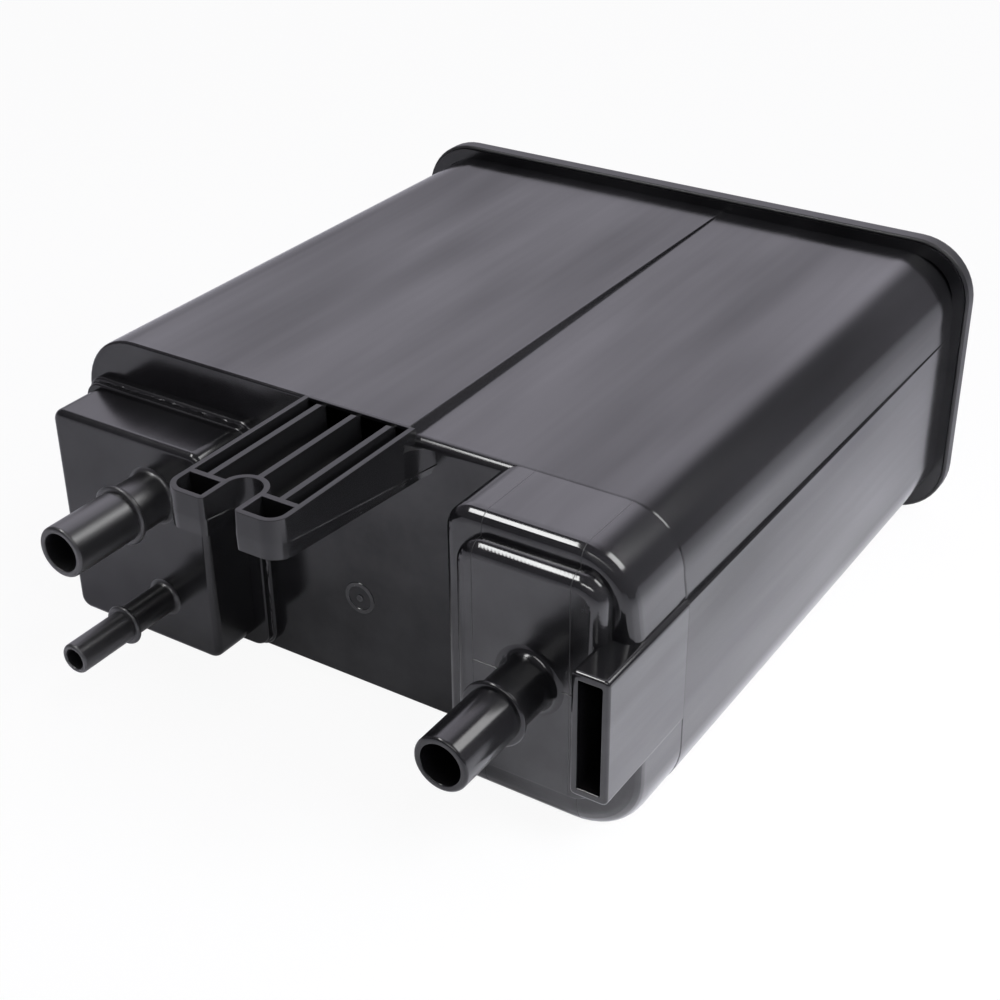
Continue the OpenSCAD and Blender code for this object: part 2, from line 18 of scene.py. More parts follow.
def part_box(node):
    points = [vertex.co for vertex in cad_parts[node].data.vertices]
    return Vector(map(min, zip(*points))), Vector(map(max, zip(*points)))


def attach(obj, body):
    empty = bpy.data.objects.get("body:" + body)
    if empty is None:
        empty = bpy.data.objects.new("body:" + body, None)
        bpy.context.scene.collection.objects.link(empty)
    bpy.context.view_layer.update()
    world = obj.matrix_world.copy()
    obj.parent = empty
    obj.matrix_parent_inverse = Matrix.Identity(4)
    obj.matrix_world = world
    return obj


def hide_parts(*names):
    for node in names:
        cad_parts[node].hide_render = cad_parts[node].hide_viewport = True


bl_info = {
    "name": "Charcoal Canister",
    "version": (1, 0, 0),
    "blender": (4, 5, 0),
    "location": "3D View > Sidebar > Canister",
    "description": "Models and finishes a charcoal canister around its packed solids",
    "category": "Object",
}

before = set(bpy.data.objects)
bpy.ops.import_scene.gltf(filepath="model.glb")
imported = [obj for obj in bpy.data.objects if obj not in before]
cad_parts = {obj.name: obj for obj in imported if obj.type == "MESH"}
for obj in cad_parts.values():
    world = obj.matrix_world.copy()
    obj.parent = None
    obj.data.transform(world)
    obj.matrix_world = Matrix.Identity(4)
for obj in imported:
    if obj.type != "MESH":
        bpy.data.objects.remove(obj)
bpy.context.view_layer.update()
BODY_LOW, BODY_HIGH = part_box("canister_body")
CAP_LOW, CAP_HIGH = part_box("port_cap")
COVER_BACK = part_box("rear_cover")[1].y
GRID_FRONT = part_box("main_front_grid")[0].y

MM = 0.001
# How far a piece reaches into the one that it stands on.
BITE = 1 * MM
# Edges with a greater angle between their faces stay sharp.
SHARP_ANGLE = math.radians(34)

# Faces on a quarter turn of an outline, on a rounded edge and on the small outlines and turns.
CORNER_STEPS = 12
EDGE_STEPS = 6
EDGE_TURNS = [math.radians(90 * k / EDGE_STEPS) for k in range(EDGE_STEPS + 1)]
STEP_STEPS = 3
MOUTH_STEPS = 4
PRONG_STEPS = 6
SLOT_STEPS = 24
BEAD_STEPS = 12
DOT_STEPS = 24
BOSS_STEPS = 48
ROUND_STEPS = 72

# Shares of the vent side's step: its edges' greatest radius, the ridge's lean and its foot.
STEP_EDGE = 0.45
RIDGE_LEAN = 0.1
RIDGE_FOOT = 0.2
# Shares of the shell's wall and of its front edge that the chamber and the pocket reach into.
CHAMBER_ROOT = 0.9
POCKET_ROOT = 0.8
# The pocket's corners as a share of its edges.
POCKET_CORNER = 1.6
# The windows behind the cap: the bars between them and their corners.
WINDOW_BAR = 3 * MM
WINDOW_R = 1 * MM
# The inner ribs lie this much lower than the bracket's top.
RIB_BELOW = 0.05 * MM
# A face whose normal rises more than this is level.
LEVEL = 0.9
# A power below 1 makes the beads' crests fuller.
BEAD_FULL = 0.6
# The skirt ends this far behind the weld flange's front.
SKIRT_SHORT = 0.6 * MM
# Rounding of the spring bosses' edges.
BOSS_EDGE = 0.4 * MM
# The gate mark's place on the shell's front, radius and height, and its dot in shares of that.
GATE_PLACE = (-2.6 * MM, 35.1 * MM)
GATE_R = 5.2 * MM
GATE_RISE = 0.4 * MM
GATE_DOT = (3.2, 2.8, 1.6)
# The weld flash: seed, sides, shares of its radius for its shift outwards and its roughness, and
# the length from which its edges get cuts.
FLASH_SEED = 7
FLASH_SIDES = 8
FLASH_SHIFT = 0.5
FLASH_ROUGH = 0.45
FLASH_LONG = 10 * MM
FLASH_CUTS = 60

# Depths of the materials' relief, and what the insert's lines add to height and roughness.
GRAIN_DEPTH = 0.00005
WAVE_DEPTH = 0.0002
CELL_DEPTH = 0.0004
LINE_HEIGHT = -2.5
LINE_DULL = 0.3
# The streaks' layers, each with its scale, stretch along Y and share, and the span of their sum.
STREAK_LAYERS = (1.0, 0.12, 0.34), (6.0, 0.03, 0.1), (0.32, 0.35, 0.56)
STREAK_SPAN = (0.34, 0.66)
# The fine grain's roughness, the wider unevenness under it, and the waves' stretch along Y.
GRAIN_ROUGH = 0.55
UNEVEN_SCALE, UNEVEN_SHARE = 90.0, 0.6
WAVE_STRETCH = 0.35
# The plastic's index of refraction, and the painted shade that darkens the cells' edges inside,
# where their relief is lowest.
PLASTIC_IOR = 1.55
CELL_PAINTED_SHADE = 0.6

# The floor: half its width, its roughness, and the share of white that the camera and mirroring
# surfaces see on it.
FLOOR_HALF = 6
FLOOR_ROUGH = 0.9
FLOOR_SEEN = 0.94
FLOOR_MIRRORED = 0.15
WHITE = (1, 1, 1, 1)
# The studio's light: its tint, and each part's span of a direction with the levels at its ends.
STUDIO_TINT = (0.97, 0.935, 1.06, 1)
STUDIO_GLOW = (0.26, 0.56), (0.35, 1.29)
STUDIO_LEFT = (-0.22, 0.14), (1, 0)
STUDIO_BEHIND = (0.2, 0.36), (0, 1)
STUDIO_FAR = (0.83, 0.94), (0.205, 0.6)
# The lamps: name, place, aim, direction of the length, size, power in watts, whether it is only
# mirrored or only lights, and spread in degrees.
AIM_BODY, AIM_CHAMBER, AIM_SIDE = (0, 0, 0.05), (0.09, -0.09, 0.09), (0.17, -0.05, 0)
ALONG, ACROSS = (0, 1, 0), (1, 0, 0)
LAMPS = (
    ("right_softbox", (0.75, 0.38, 1.1), AIM_BODY, ALONG, (0.8, 0.8), 5.3, False, 180),
    ("front_softbox", (0.62, -0.34, 0.95), AIM_CHAMBER, ALONG, (0.3, 0.3), 3.1, False, 180),
    ("side_softbox", (0.6, 0.02, 0.3), AIM_SIDE, ALONG, (0.3, 0.3), 0.66, False, 52),
    ("back_softbox", (0.6, 0.5, 0.85), AIM_BODY, ALONG, (0.5, 0.5), 4.6, True, 180),
    ("left_strip", (-0.41, -0.46, 1.01), AIM_CHAMBER, ALONG, (0.6, 0.18), 5.2, True, 180),
    ("front_strip", (0.28, -0.8, 0.72), AIM_CHAMBER, ACROSS, (0.7, 0.1), 2.4, True, 180),
)
# The camera: sensor and focal length in millimetres, place, and angles in degrees.
SENSOR_W, FOCAL_L = 36, 62.32
CAMERA_PLACE = (0.264985, -0.39952, 0.319312)
CAMERA_TURN, CAMERA_DOWN, CAMERA_ROLL = 33.095, 30.51, -0.581
CAMERA_CLIP = 0.01, 50


class Plastic(NamedTuple):
    """A finish of the black plastic. Pairs go from the surface between streaks to the streaks."""

    rough: tuple
    coat: tuple
    specular: float
    haze: float
    streak_width: float
    grain_scale: float
    grain: float
    waves: float
    lines: bool = False
    cuts: float = 0.0


SATIN, GLOSS, SOFT, CUT, SMOOTH, RIB, DULL, ERODED, TURNED, FLASH = (
    "satin moulded plastic",
    "polished moulded plastic",
    "soft moulded plastic",
    "cut moulded plastic",
    "smooth moulded plastic",
    "rib moulded plastic",
    "dull moulded plastic",
    "eroded moulded plastic",
    "turned moulded plastic",
    "weld flash plastic",
)
# The finishes of the shell, the chamber and the pocket, the boss plate's face and its edge, the cap
# and the bracket, the ribs' tops, the cover, the cap's nipples, the vent nipple and the flash.
PLASTICS = {
    SATIN: Plastic((0.1, 0.22), (0.0, 0.62), 0.35, 2.2, 70, 1400, 0.1, 0.8),
    GLOSS: Plastic((0.08, 0.17), (0.05, 0.55), 0.47, 1.8, 120, 900, 0.08, 0.4, lines=True),
    SOFT: Plastic((0.2, 0.28), (0.1, 0.6), 0.55, 1.8, 120, 900, 0.08, 0.4, lines=True),
    CUT: Plastic((0.1, 0.17), (0.05, 0.55), 0.47, 1.8, 120, 900, 0.08, 0.2, lines=True, cuts=0.8),
    SMOOTH: Plastic((0.16, 0.27), (0.1, 0.4), 0.4, 2, 90, 1200, 0.1, 0.3),
    RIB: Plastic((0.33, 0.46), (0.0, 0.3), 0.34, 2, 120, 1500, 0.2, 0.1),
    DULL: Plastic((0.34, 0.5), (0.0, 0.2), 0.45, 1.8, 120, 1100, 0.14, 0.3),
    ERODED: Plastic((0.3, 0.42), (0.2, 0.7), 0.7, 2, 160, 2200, 0.35, 0.1),
    TURNED: Plastic((0.12, 0.22), (0.0, 0.36), 0.36, 1.6, 140, 1600, 0.12, 0.1),
    FLASH: Plastic((0.1, 0.3), (0.2, 0.8), 0.6, 2, 900, 3000, 0.8, 0),
}


def length(name, description, mm):
    """A length whose default is given in millimetres."""
    return bpy.props.FloatProperty(
        name=name, description=description, default=mm * MM, unit="LENGTH", precision=4
    )


def colour(name, description, rgb):
    """A plain colour."""
    return bpy.props.FloatVectorProperty(
        name=name, description=description, default=rgb, subtype="COLOR", min=0, max=1, size=3
    )


class ShellSizes(bpy.types.PropertyGroup):
    """The body's rounded box, its steps and its weld flange."""

    wall: length("Wall", "Thickness of the shell's walls", 2.5)
    corner_r: length("Corner radius", "Radius of the shell's long corners", 20)
    front_r: length("Front edge", "Rounding of the main side's front edge", 1)
    vent_r: length("Vent edge", "Rounding of the vent side's front edge", 2.8)
    ridge_x: length("Ridge", "Place of the ridge above the partition", 17.9)
    partition_t: length("Partition", "Thickness of the partition under the ridge", 2.2)
    passage: length("Passage", "Height of the passage behind the partition", 12)
    step_front: length("Front step", "How far the vent side is set in at the front", 2.4)
    step_back: length("Back step", "How far the vent side is set in at the back", 0.5)
    step_r: length("Step edge", "Rounding of the ridge's and the ledge's edges", 0.5)
    ledge_h: length("Ledge", "Height of the ledge above the shell's underside", 66.5)
    ledge_share: bpy.props.FloatProperty(
        name="Ledge share",
        description="The ledge's width as a share of the step",
        default=0.55,
        min=0,
        max=1,
        subtype="FACTOR",
    )
    flange_over: length("Flange", "How far the weld flange stands out", 3)
    flange_t: length("Flange thickness", "Thickness of the weld flange", 3.2)
    rim_less: length("Rim corner", "How much less the rim's corners are rounded", 1.1)


class CoverSizes(bpy.types.PropertyGroup):
    """The rear cover with its skirt around the weld flange."""

    skirt_t: length("Skirt", "Thickness of the skirt around the flange", 1)
    skirt_gap: length("Skirt gap", "Gap between the flange and the skirt", 0.2)
    skirt_r: length("Skirt edge", "Rounding of the skirt's front edge", 0.9)
    rim_r: length("Rim edge", "Rounding of the cover's back edge", 2.6)
    field_h: length("Field", "Height of the raised field on the back", 2)
    field_margin: length("Field margin", "Width of the border around the field", 14)
    field_r: length("Field edge", "Rounding of the field's edge", 0.9)
    seat_h: length("Spring boss", "Height of the bosses inside that hold the springs", 3)
    seat_gap: length("Spring boss gap", "Gap between a boss and its spring", 0.4)
    spring_wire: length("Spring wire", "Diameter of the springs' wire", 1.8)


class ChamberSizes(bpy.types.PropertyGroup):
    """The raised vent chamber, its boss plate and the clip pocket."""

    left: length("Left side", "Place of the chamber's left side", 44.7)
    depth: length("Depth", "How far the chamber stands out", 24.2)
    seam: length("Seam", "How far the chamber is set in at the mould's parting line", 0.15)
    edge_r: length("Front edge", "Rounding of the chamber's front edges", 4)
    low_r: length("Low edge", "Rounding of the chamber's lower front edge", 9.4)
    side_r: length("Side corner", "Radius of the chamber's left corners", 8)
    wall: length("Wall", "Thickness of the chamber's walls", 6)
    plate_left: length("Plate left", "Boss plate's left side from the chamber's", 6.1)
    plate_low: length("Plate low", "Boss plate's underside above the shell's", 16)
    plate_w: length("Plate width", "Width of the boss plate", 44.8)
    plate_h: length("Plate height", "Height of the boss plate", 69)
    plate_t: length("Plate thickness", "How far the boss plate stands out", 4.9)
    plate_r: length("Plate corner", "Radius of the boss plate's corners", 8)
    plate_low_r: length("Plate low edge", "Rounding of the boss plate's lower edge", 0.5)
    pocket_w: length("Pocket width", "Outside width of the clip pocket", 11)
    pocket_h: length("Pocket height", "Outside height of the clip pocket", 38.4)
    pocket_up: length("Pocket place", "How far the pocket reaches above the ledge", 0.4)
    pocket_d: length("Pocket reach", "How far the pocket stands out", 40.4)
    pocket_r: length("Pocket edge", "Rounding of the pocket's outer edges", 1)
    mouth_w: length("Mouth width", "Width of the pocket's mouth", 6.8)
    mouth_h: length("Mouth height", "Height of the pocket's mouth", 33.4)
    mouth_d: length("Mouth depth", "Depth of the pocket's mouth", 37)
    mouth_r: length("Mouth edge", "Rounding of the mouth's edge", 0.4)


class BracketSizes(bpy.types.PropertyGroup):
    """The ribbed bracket with its open slot."""

    middle: length("Middle", "Place of the bracket's middle", 0.4)
    width: length("Width", "Width of the bracket", 38.5)
    reach: length("Reach", "How far the bracket stands out", 59.2)
    height: length("Height", "Height of the bracket at its tip", 11.4)
    corner_r: length("Corner", "Radius of the bracket's outer corners", 6)
    mouth_r: length("Mouth corner", "Radius of the corners at the slot's mouth", 1.6)
    slot_w: length("Slot", "Width of the slot", 9.8)
    slot_y: length("Slot place", "Distance of the slot's end from the shell's front", 48.6)
    rib_t: length("Rib", "Thickness of the ribs", 2)
    rib_pitch: length("Rib pitch", "Distance of the inner ribs from the middle", 12)
    floor_t: length("Floor", "Thickness of the floor under the ribs", 2)
    root_h: length("Root height", "Height of the bracket at its root", 16.4)
    part_tip: length("Parting at tip", "Depth of the parting line below the top, at the tip", 6.5)
    part_root: length(
        "Parting at root", "Depth of the parting line below the top, at the root", 14.2
    )
    part_out: length("Parting ridge", "How far the parting line stands out", 0.34)
    part_rise: length("Parting slope", "Height of the slope on top of the parting line", 0.14)
    lean: length("Lean", "How far the side draws in from the parting line to the top", 0.25)
    draft: length("Draft", "How far the side draws in below the parting line", 0.15)
    root_r: length("Root", "Radius of the flare at the root", 7)
    root_rise: length("Root rise", "How far the flare's parting line rises towards the shell", 5.4)
    root_down: length("Root top", "Depth of the flare's top below the vent side's top", 2.4)
    rib_back: length("Rib end", "Length of the slope at an inner rib's end", 1.8)
    rib_drop: length("Rib end drop", "How far an inner rib drops at its end", 1.3)
    edge_r: length("Edge", "Rounding of the ribs' edges", 0.25)


class CapSizes(bpy.types.PropertyGroup):
    """The port cap, its weld flange and the pad behind it."""

    flange_left: length("Flange left", "Flange beyond the cap's left side", 2.3)
    flange_right: length("Flange right", "Flange beyond the cap's right side", 4.9)
    flange_low: length("Flange low", "Flange below the cap", 3.6)
    flange_top: length("Flange top", "Flange above the cap", 1.6)
    flange_r: length("Flange corner", "Radius of the flange's corners", 6)
    flange_t: length("Flange thickness", "Thickness of the cap's flange", 2.2)
    flange_edge: length("Flange edge", "Rounding of the flange's front edge", 0.6)
    pad_t: length("Pad", "Thickness of the pad on the shell's front", 2.7)
    pad_over: length("Pad border", "How far the pad stands out around the flange", 1.2)
    pad_edge: length("Pad edge", "Rounding of the pad's edge", 0.9)
    depth: length("Depth", "How far the cap stands out from the shell's front", 21.9)
    wall: length("Wall", "Thickness of the cap's walls", 2.2)
    corner_r: length("Corner", "Radius of the cap's corners", 4)
    edge_r: length("Edge", "Rounding of the cap's front edges", 2.2)
    flash_r: length("Weld flash", "Half the thickness of the flash along the weld", 0.3)


class NippleSizes(bpy.types.PropertyGroup):
    """The three hose nipples."""

    large_od: length("Large", "Outside diameter of the two large nipples", 15.82)
    large_bore: length("Large bore", "Bore of the two large nipples", 11.8)
    small_od: length("Small", "Outside diameter of the small nipple", 9.49)
    small_bore: length("Small bore", "Bore of the small nipple", 6.4)
    bead_out: length("Bead height", "How far a bead stands out", 1.6)
    bead_l: length("Bead length", "Length of a bead", 1.8)
    large_tip: length("Large tip", "Length from the bead to the tip of a large nipple", 24)
    small_tip: length("Small tip", "Length from the bead to the tip of the small nipple", 20.8)
    tip_r: length("Tip edge", "Rounding of a tip's outer edge", 0.9)
    mouth_r: length("Mouth edge", "Rounding of a bore's edge", 0.4)
    vent_base_r: length("Vent base", "Radius of the fillet at the vent nipple's base", 2.6)
    cap_base_r: length("Cap base", "Radius of the fillets at the cap's nipples' bases", 1.4)
    line_l: length("Line length", "Length of the parting lines beside the vent nipple", 7)
    line_h: length("Line height", "Height of the parting lines beside the vent nipple", 0.2)
    vent_x: length("Vent across", "Vent nipple's place across the boss plate", 23.6)
    vent_z: length("Vent up", "Vent nipple's place up the boss plate", 33.3)
    cap_x: length("Cap across", "Tank and purge nipples' place across the cap", 38.2)
    tank_z: length("Tank up", "Tank nipple's place up the cap", 52.4)
    purge_z: length("Purge up", "Purge nipple's place up the cap", 16.7)
    vent_neck: length("Vent neck", "Length from the boss plate to the vent nipple's bead", 16.5)
    tank_neck: length("Tank neck", "Length from the cap to the tank nipple's bead", 13.4)
    purge_neck: length("Purge neck", "Length from the cap to the purge nipple's bead", 17.7)


class Finish(bpy.types.PropertyGroup):
    """Colours of the finishes."""

    plastic: colour("Plastic", "Black of the mouldings", (0.0062, 0.0062, 0.0068))
    grid: colour("Grids", "Dark grey of the grids and plates inside", (0.045, 0.045, 0.05))
    felt: colour("Felt", "Pale colour of the felt pads", (0.72, 0.7, 0.64))
    carbon: colour("Carbon", "Black of the carbon pellets", (0.012, 0.012, 0.012))
    steel: colour("Steel", "Colour of the springs", (0.55, 0.56, 0.58))
    foam: colour("Foam", "Grey of the dust foams", (0.12, 0.125, 0.135))
    floor: colour("Floor", "Pale colour of the floor", (0.84, 0.84, 0.9))


class CanisterSizes(bpy.types.PropertyGroup):
    """All sizes and colours of the canister."""

    shell: bpy.props.PointerProperty(type=ShellSizes)
    cover: bpy.props.PointerProperty(type=CoverSizes)
    chamber: bpy.props.PointerProperty(type=ChamberSizes)
    bracket: bpy.props.PointerProperty(type=BracketSizes)
    cap: bpy.props.PointerProperty(type=CapSizes)
    nipple: bpy.props.PointerProperty(type=NippleSizes)
    finish: bpy.props.PointerProperty(type=Finish)


class Places:
    """Places that follow from the frame and the sizes."""

    def __init__(self, sizes):
        shell, chamber, cap, nipple = sizes.shell, sizes.chamber, sizes.cap, sizes.nipple
        self.front = GRID_FRONT - shell.wall
        self.flange_y = BODY_HIGH.y
        self.half_w = BODY_HIGH.x - shell.flange_over
        self.low = BODY_LOW.z + shell.flange_over
        self.top = BODY_HIGH.z - shell.flange_over
        self.ledge = self.low + shell.ledge_h
        self.right_x = self.half_w - shell.step_front
        self.right_top = self.top - shell.step_front
        self.chamber_y = self.front - chamber.depth
        self.plate_y = self.chamber_y - chamber.plate_t
        self.plate_x = chamber.left + chamber.plate_left
        self.plate_z = self.low + chamber.plate_low
        self.pocket_x = self.half_w - chamber.pocket_w
        self.pocket_top = self.ledge + chamber.pocket_up
        self.pocket_low = self.pocket_top - chamber.pocket_h
        self.cap_x0 = CAP_LOW.x + cap.flange_left
        self.cap_x1 = CAP_HIGH.x - cap.flange_right
        self.cap_z0 = CAP_LOW.z + cap.flange_low
        self.cap_z1 = CAP_HIGH.z - cap.flange_top
        self.cap_y = self.front - cap.depth
        self.vent = (self.plate_x + nipple.vent_x, self.plate_z + nipple.vent_z)
        self.tank = (self.cap_x0 + nipple.cap_x, self.cap_z0 + nipple.tank_z)
        self.purge = (self.cap_x0 + nipple.cap_x, self.cap_z0 + nipple.purge_z)


def quarter(x, z, r, start, steps=CORNER_STEPS):
    """Points of a quarter turn around x, z, from the angle start."""
    turns = [math.radians(start + 90 * k / steps) for k in range(steps + 1)]
    return [(x + r * math.cos(a), z + r * math.sin(a)) for a in turns]


def rounded_box(x0, z0, x1, z1, r):
    """An outline in X and Z with rounded corners."""
    return (
        quarter(x0 + r, z0 + r, r, 180)
        + quarter(x1 - r, z0 + r, r, 270)
        + quarter(x1 - r, z1 - r, r, 0)
        + quarter(x0 + r, z1 - r, r, 90)
    )


def circle(x, z, r, steps=ROUND_STEPS):
    """A round outline in X and Z."""
    turns = [math.tau * k / steps for k in range(steps)]
    return [(x + r * math.cos(a), z + r * math.sin(a)) for a in turns]


def bore_hole(middle, bore, wall):
    """The outline of a hole behind a nipple's bore, wider by a fifth of the wall."""
    return circle(*middle, bore / 2 + wall / 10)


def edge_inset(r, t):
    """How far a rounded edge of radius r draws in at a distance t from the face that it meets."""
    return 0.0 if t >= r else r - math.sqrt(r * r - (r - t) ** 2)


def edge_stops(*radii):
    """Distances from a face at which its rounded edges need a ring of points."""
    return sorted({r * (1 - math.cos(a)) for r in radii for a in EDGE_TURNS})


def rounded_end(y, outline, *radii, way=1):
    """Rings that lead to an end in the plane y with rounded edges.

    The outline takes an inset for each radius. The rings come from behind the plane, or from
    before it if way is -1.
    """
    return [
        (y + way * t, outline(*[edge_inset(r, t) for r in radii]))
        for t in reversed(edge_stops(*radii))
    ]


def loop(bm, points):
    """A closed loop of edges through the points."""
    verts = [bm.verts.new(p) for p in points]
    return [bm.edges.new(pair) for pair in zip(verts, verts[1:] + verts[:1])]


def ring(bm, y, outline):
    """A closed loop of edges around an outline, in the plane y."""
    return loop(bm, [(x, y, z) for x, z in outline])


def bridge(bm, first, second):
    """Joins two loops with a strip of faces."""
    bmesh.ops.bridge_loops(bm, edges=first + second)


def loft(bm, rings, closed=False):
    """Joins rings that follow each other, and the last to the first where it is closed."""
    loops = [ring(bm, y, outline) for y, outline in rings]
    for first, second in zip(loops, loops[1:]):
        bridge(bm, first, second)
    if closed:
        bridge(bm, loops[-1], loops[0])
    return loops


def fill(bm, *loops):
    """Fills a flat loop. Later loops are holes in it."""
    edges = [e for edges in loops for e in edges]
    if len(loops) == 1:
        bmesh.ops.contextual_create(bm, geom=edges)
    else:
        bmesh.ops.triangle_fill(bm, use_beauty=True, edges=edges)


def pierced_wall(bm, first, second, holes):
    """Fills both faces of a wall, each given as its y and its loop, around holes through it."""
    sides = [loft(bm, [(first[0], hole), (second[0], hole)]) for hole in holes]
    fill(bm, first[1], *[start for start, _ in sides])
    fill(bm, second[1], *[end for _, end in sides])


def solid(bm, rings):
    """A closed solid through rings that follow each other."""
    loops = loft(bm, rings)
    fill(bm, loops[0])
    fill(bm, loops[-1])


def turned(bm, x, z, profile):
    """A solid of revolution around an axis along Y: the profile is a closed run of radius and y."""
    verts = [bm.verts.new((x + r, y, z)) for r, y in profile]
    edges = [bm.edges.new(pair) for pair in zip(verts, verts[1:] + verts[:1])]
    bmesh.ops.spin(
        bm,
        geom=verts + edges,
        cent=(x, 0, z),
        axis=(0, 1, 0),
        angle=math.tau,
        steps=ROUND_STEPS,
        use_merge=True,
        use_duplicate=False,
    )


def finish_piece(bm, sizes, name, plastics, *nodes):
    """Turns a bmesh into a piece that rides on the frame and stands for the nodes."""
    bmesh.ops.recalc_face_normals(bm, faces=bm.faces)
    for face in bm.faces:
        face.smooth = True
    for edge in bm.edges:
        edge.smooth = edge.calc_face_angle(0) < SHARP_ANGLE
    mesh = bpy.data.meshes.new(name)
    bm.to_mesh(mesh)
    bm.free()
    for finish in plastics:
        mesh.materials.append(plastic(sizes, finish))
    piece = bpy.data.objects.new(name, mesh)
    bpy.context.scene.collection.objects.link(piece)
    weighted = piece.modifiers.new("Flat faces", "WEIGHTED_NORMAL")
    weighted.keep_sharp = True
    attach(piece, "root")
    if nodes:
        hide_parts(*nodes)


def shell_outline(sizes, step, inset, vent_inset):
    """The shell's outline. Above the ledge and right of the ridge it is set in by step."""
    shell, at = sizes.shell, Places(sizes)
    r = shell.corner_r
    edge = min(shell.step_r, STEP_EDGE * step)
    ridge = shell.ridge_x - RIDGE_LEAN * step - inset
    ledge, top, side = at.ledge - inset, at.top - inset, at.half_w - inset
    return (
        quarter(r - at.half_w, at.low + r, r - inset, 180)
        + quarter(at.half_w - r, at.low + r, r - inset, 270)
        + quarter(side - edge, ledge - edge, edge, 0, STEP_STEPS)
        + [(at.half_w - shell.ledge_share * step - vent_inset, ledge)]
        + quarter(at.half_w - r, at.top - r, r - step - vent_inset, 0)
        + [(shell.ridge_x + RIDGE_FOOT * step, at.top - step - vent_inset)]
        + quarter(ridge - edge, top - edge, edge, 0, STEP_STEPS)
        + quarter(r - at.half_w, at.top - r, r - inset, 90)
    )


def shell_inside(sizes):
    """The outline of the space inside the shell, without the partition."""
    shell, at = sizes.shell, Places(sizes)
    r = shell.corner_r - shell.wall
    vent_r = r - shell.step_front
    x0, z0 = shell.wall - at.half_w, at.low + shell.wall
    x1, z1 = at.right_x - shell.wall, at.right_top - shell.wall
    middle = shell.ridge_x - shell.partition_t / 2
    return (
        quarter(x0 + r, z0 + r, r, 180)
        + quarter(x1 - vent_r, z0 + vent_r, vent_r, 270)
        + quarter(x1 - vent_r, z1 - vent_r, vent_r, 0)
        + [(middle, z1), (middle, at.top - shell.wall)]
        + quarter(x0 + r, at.top - shell.wall - r, r, 90)
    )


def rim_outline(sizes, grow):
    """The rim's outline, whose corners are rounded less than those of the body."""
    shell, at = sizes.shell, Places(sizes)
    r = shell.corner_r - shell.rim_less + grow - shell.flange_over
    return rounded_box(-at.half_w - grow, at.low - grow, at.half_w + grow, at.top + grow, r)


def field_outline(sizes, inset):
    """The outline of the raised field on the cover's back, drawn in by inset."""
    at, margin = Places(sizes), sizes.cover.field_margin
    draw, r = margin + inset, sizes.shell.corner_r - margin - inset
    return rounded_box(draw - at.half_w, at.low + draw, at.half_w - draw, at.top - draw, r)


def vent_hollow(sizes):
    """The outline of the space inside the raised chamber."""
    chamber, at = sizes.chamber, Places(sizes)
    return rounded_box(
        chamber.left + chamber.wall,
        at.low + chamber.wall + chamber.low_r / 2,
        at.pocket_x - chamber.wall / 2,
        at.right_top - chamber.wall,
        chamber.side_r,
    )


def cap_flange(sizes, grow):
    """The outline of the cap's weld flange, and of the pad that stands out around it."""
    x0, z0, x1, z1 = CAP_LOW.x - grow, CAP_LOW.z - grow, CAP_HIGH.x + grow, CAP_HIGH.z + grow
    return rounded_box(x0, z0, x1, z1, sizes.cap.flange_r + grow)


def cap_box(sizes, inset, r):
    """The outline of the cap's block, drawn in by inset."""
    at = Places(sizes)
    x0, x1 = at.cap_x0 + inset, at.cap_x1 - inset
    return rounded_box(x0, at.cap_z0 + inset, x1, at.cap_z1 - inset, r)


def front_windows(sizes):
    """The openings through the shell's front wall: four behind the cap and the chamber's."""
    cap, at = sizes.cap, Places(sizes)
    inset = cap.wall + cap.corner_r
    x0, x1 = at.cap_x0 + inset, at.cap_x1 - inset
    z0, z1 = at.cap_z0 + inset, at.cap_z1 - inset
    w, h = (x1 - x0 - WINDOW_BAR) / 2, (z1 - z0 - WINDOW_BAR) / 2
    corners = [(x, z) for x in (x0, x0 + w + WINDOW_BAR) for z in (z0, z0 + h + WINDOW_BAR)]
    return [rounded_box(x, z, x + w, z + h, WINDOW_R) for x, z in corners] + [vent_hollow(sizes)]


class CANISTER_OT_shell(bpy.types.Operator):
    """Models the body's shell with its front wall, partition and weld flange"""

    bl_idname = "canister.shell"
    bl_label = "Body Shell"

    def execute(self, context):
        sizes = context.scene.canister
        shell, at = sizes.shell, Places(sizes)
        run, inner_y = at.flange_y - at.front, at.front + shell.wall
        bm = bmesh.new()
        rings = []
        for t in [*edge_stops(shell.front_r, shell.vent_r), run - BITE / 2]:
            step = shell.step_front + (shell.step_back - shell.step_front) * t / run
            insets = edge_inset(shell.front_r, t), edge_inset(shell.vent_r, t)
            rings.append((at.front + t, shell_outline(sizes, step, *insets)))
        outside = loft(bm, rings)
        room = shell_inside(sizes)
        hollow = loft(bm, [(at.flange_y - BITE / 2, room), (inner_y, room)])
        fill(bm, outside[-1], hollow[0])
        pierced_wall(bm, (at.front, outside[0]), (inner_y, hollow[1]), front_windows(sizes))
        x1, thick, end = shell.ridge_x, shell.partition_t, at.flange_y - shell.passage
        partition = rounded_box(x1 - thick, at.low + BITE, x1, at.right_top - BITE, thick / 8)
        solid(bm, [(at.front + BITE, partition), (end, partition)])
        flange_y = at.flange_y - shell.flange_t
        edge = rim_outline(sizes, shell.flange_over)
        inside = rim_outline(sizes, -shell.wall / 2)
        rings = [(flange_y, inside), (flange_y, edge), (at.flange_y, edge), (at.flange_y, inside)]
        loft(bm, rings, closed=True)
        finish_piece(bm, sizes, "body_shell", [SATIN], "canister_body")
        return {"FINISHED"}


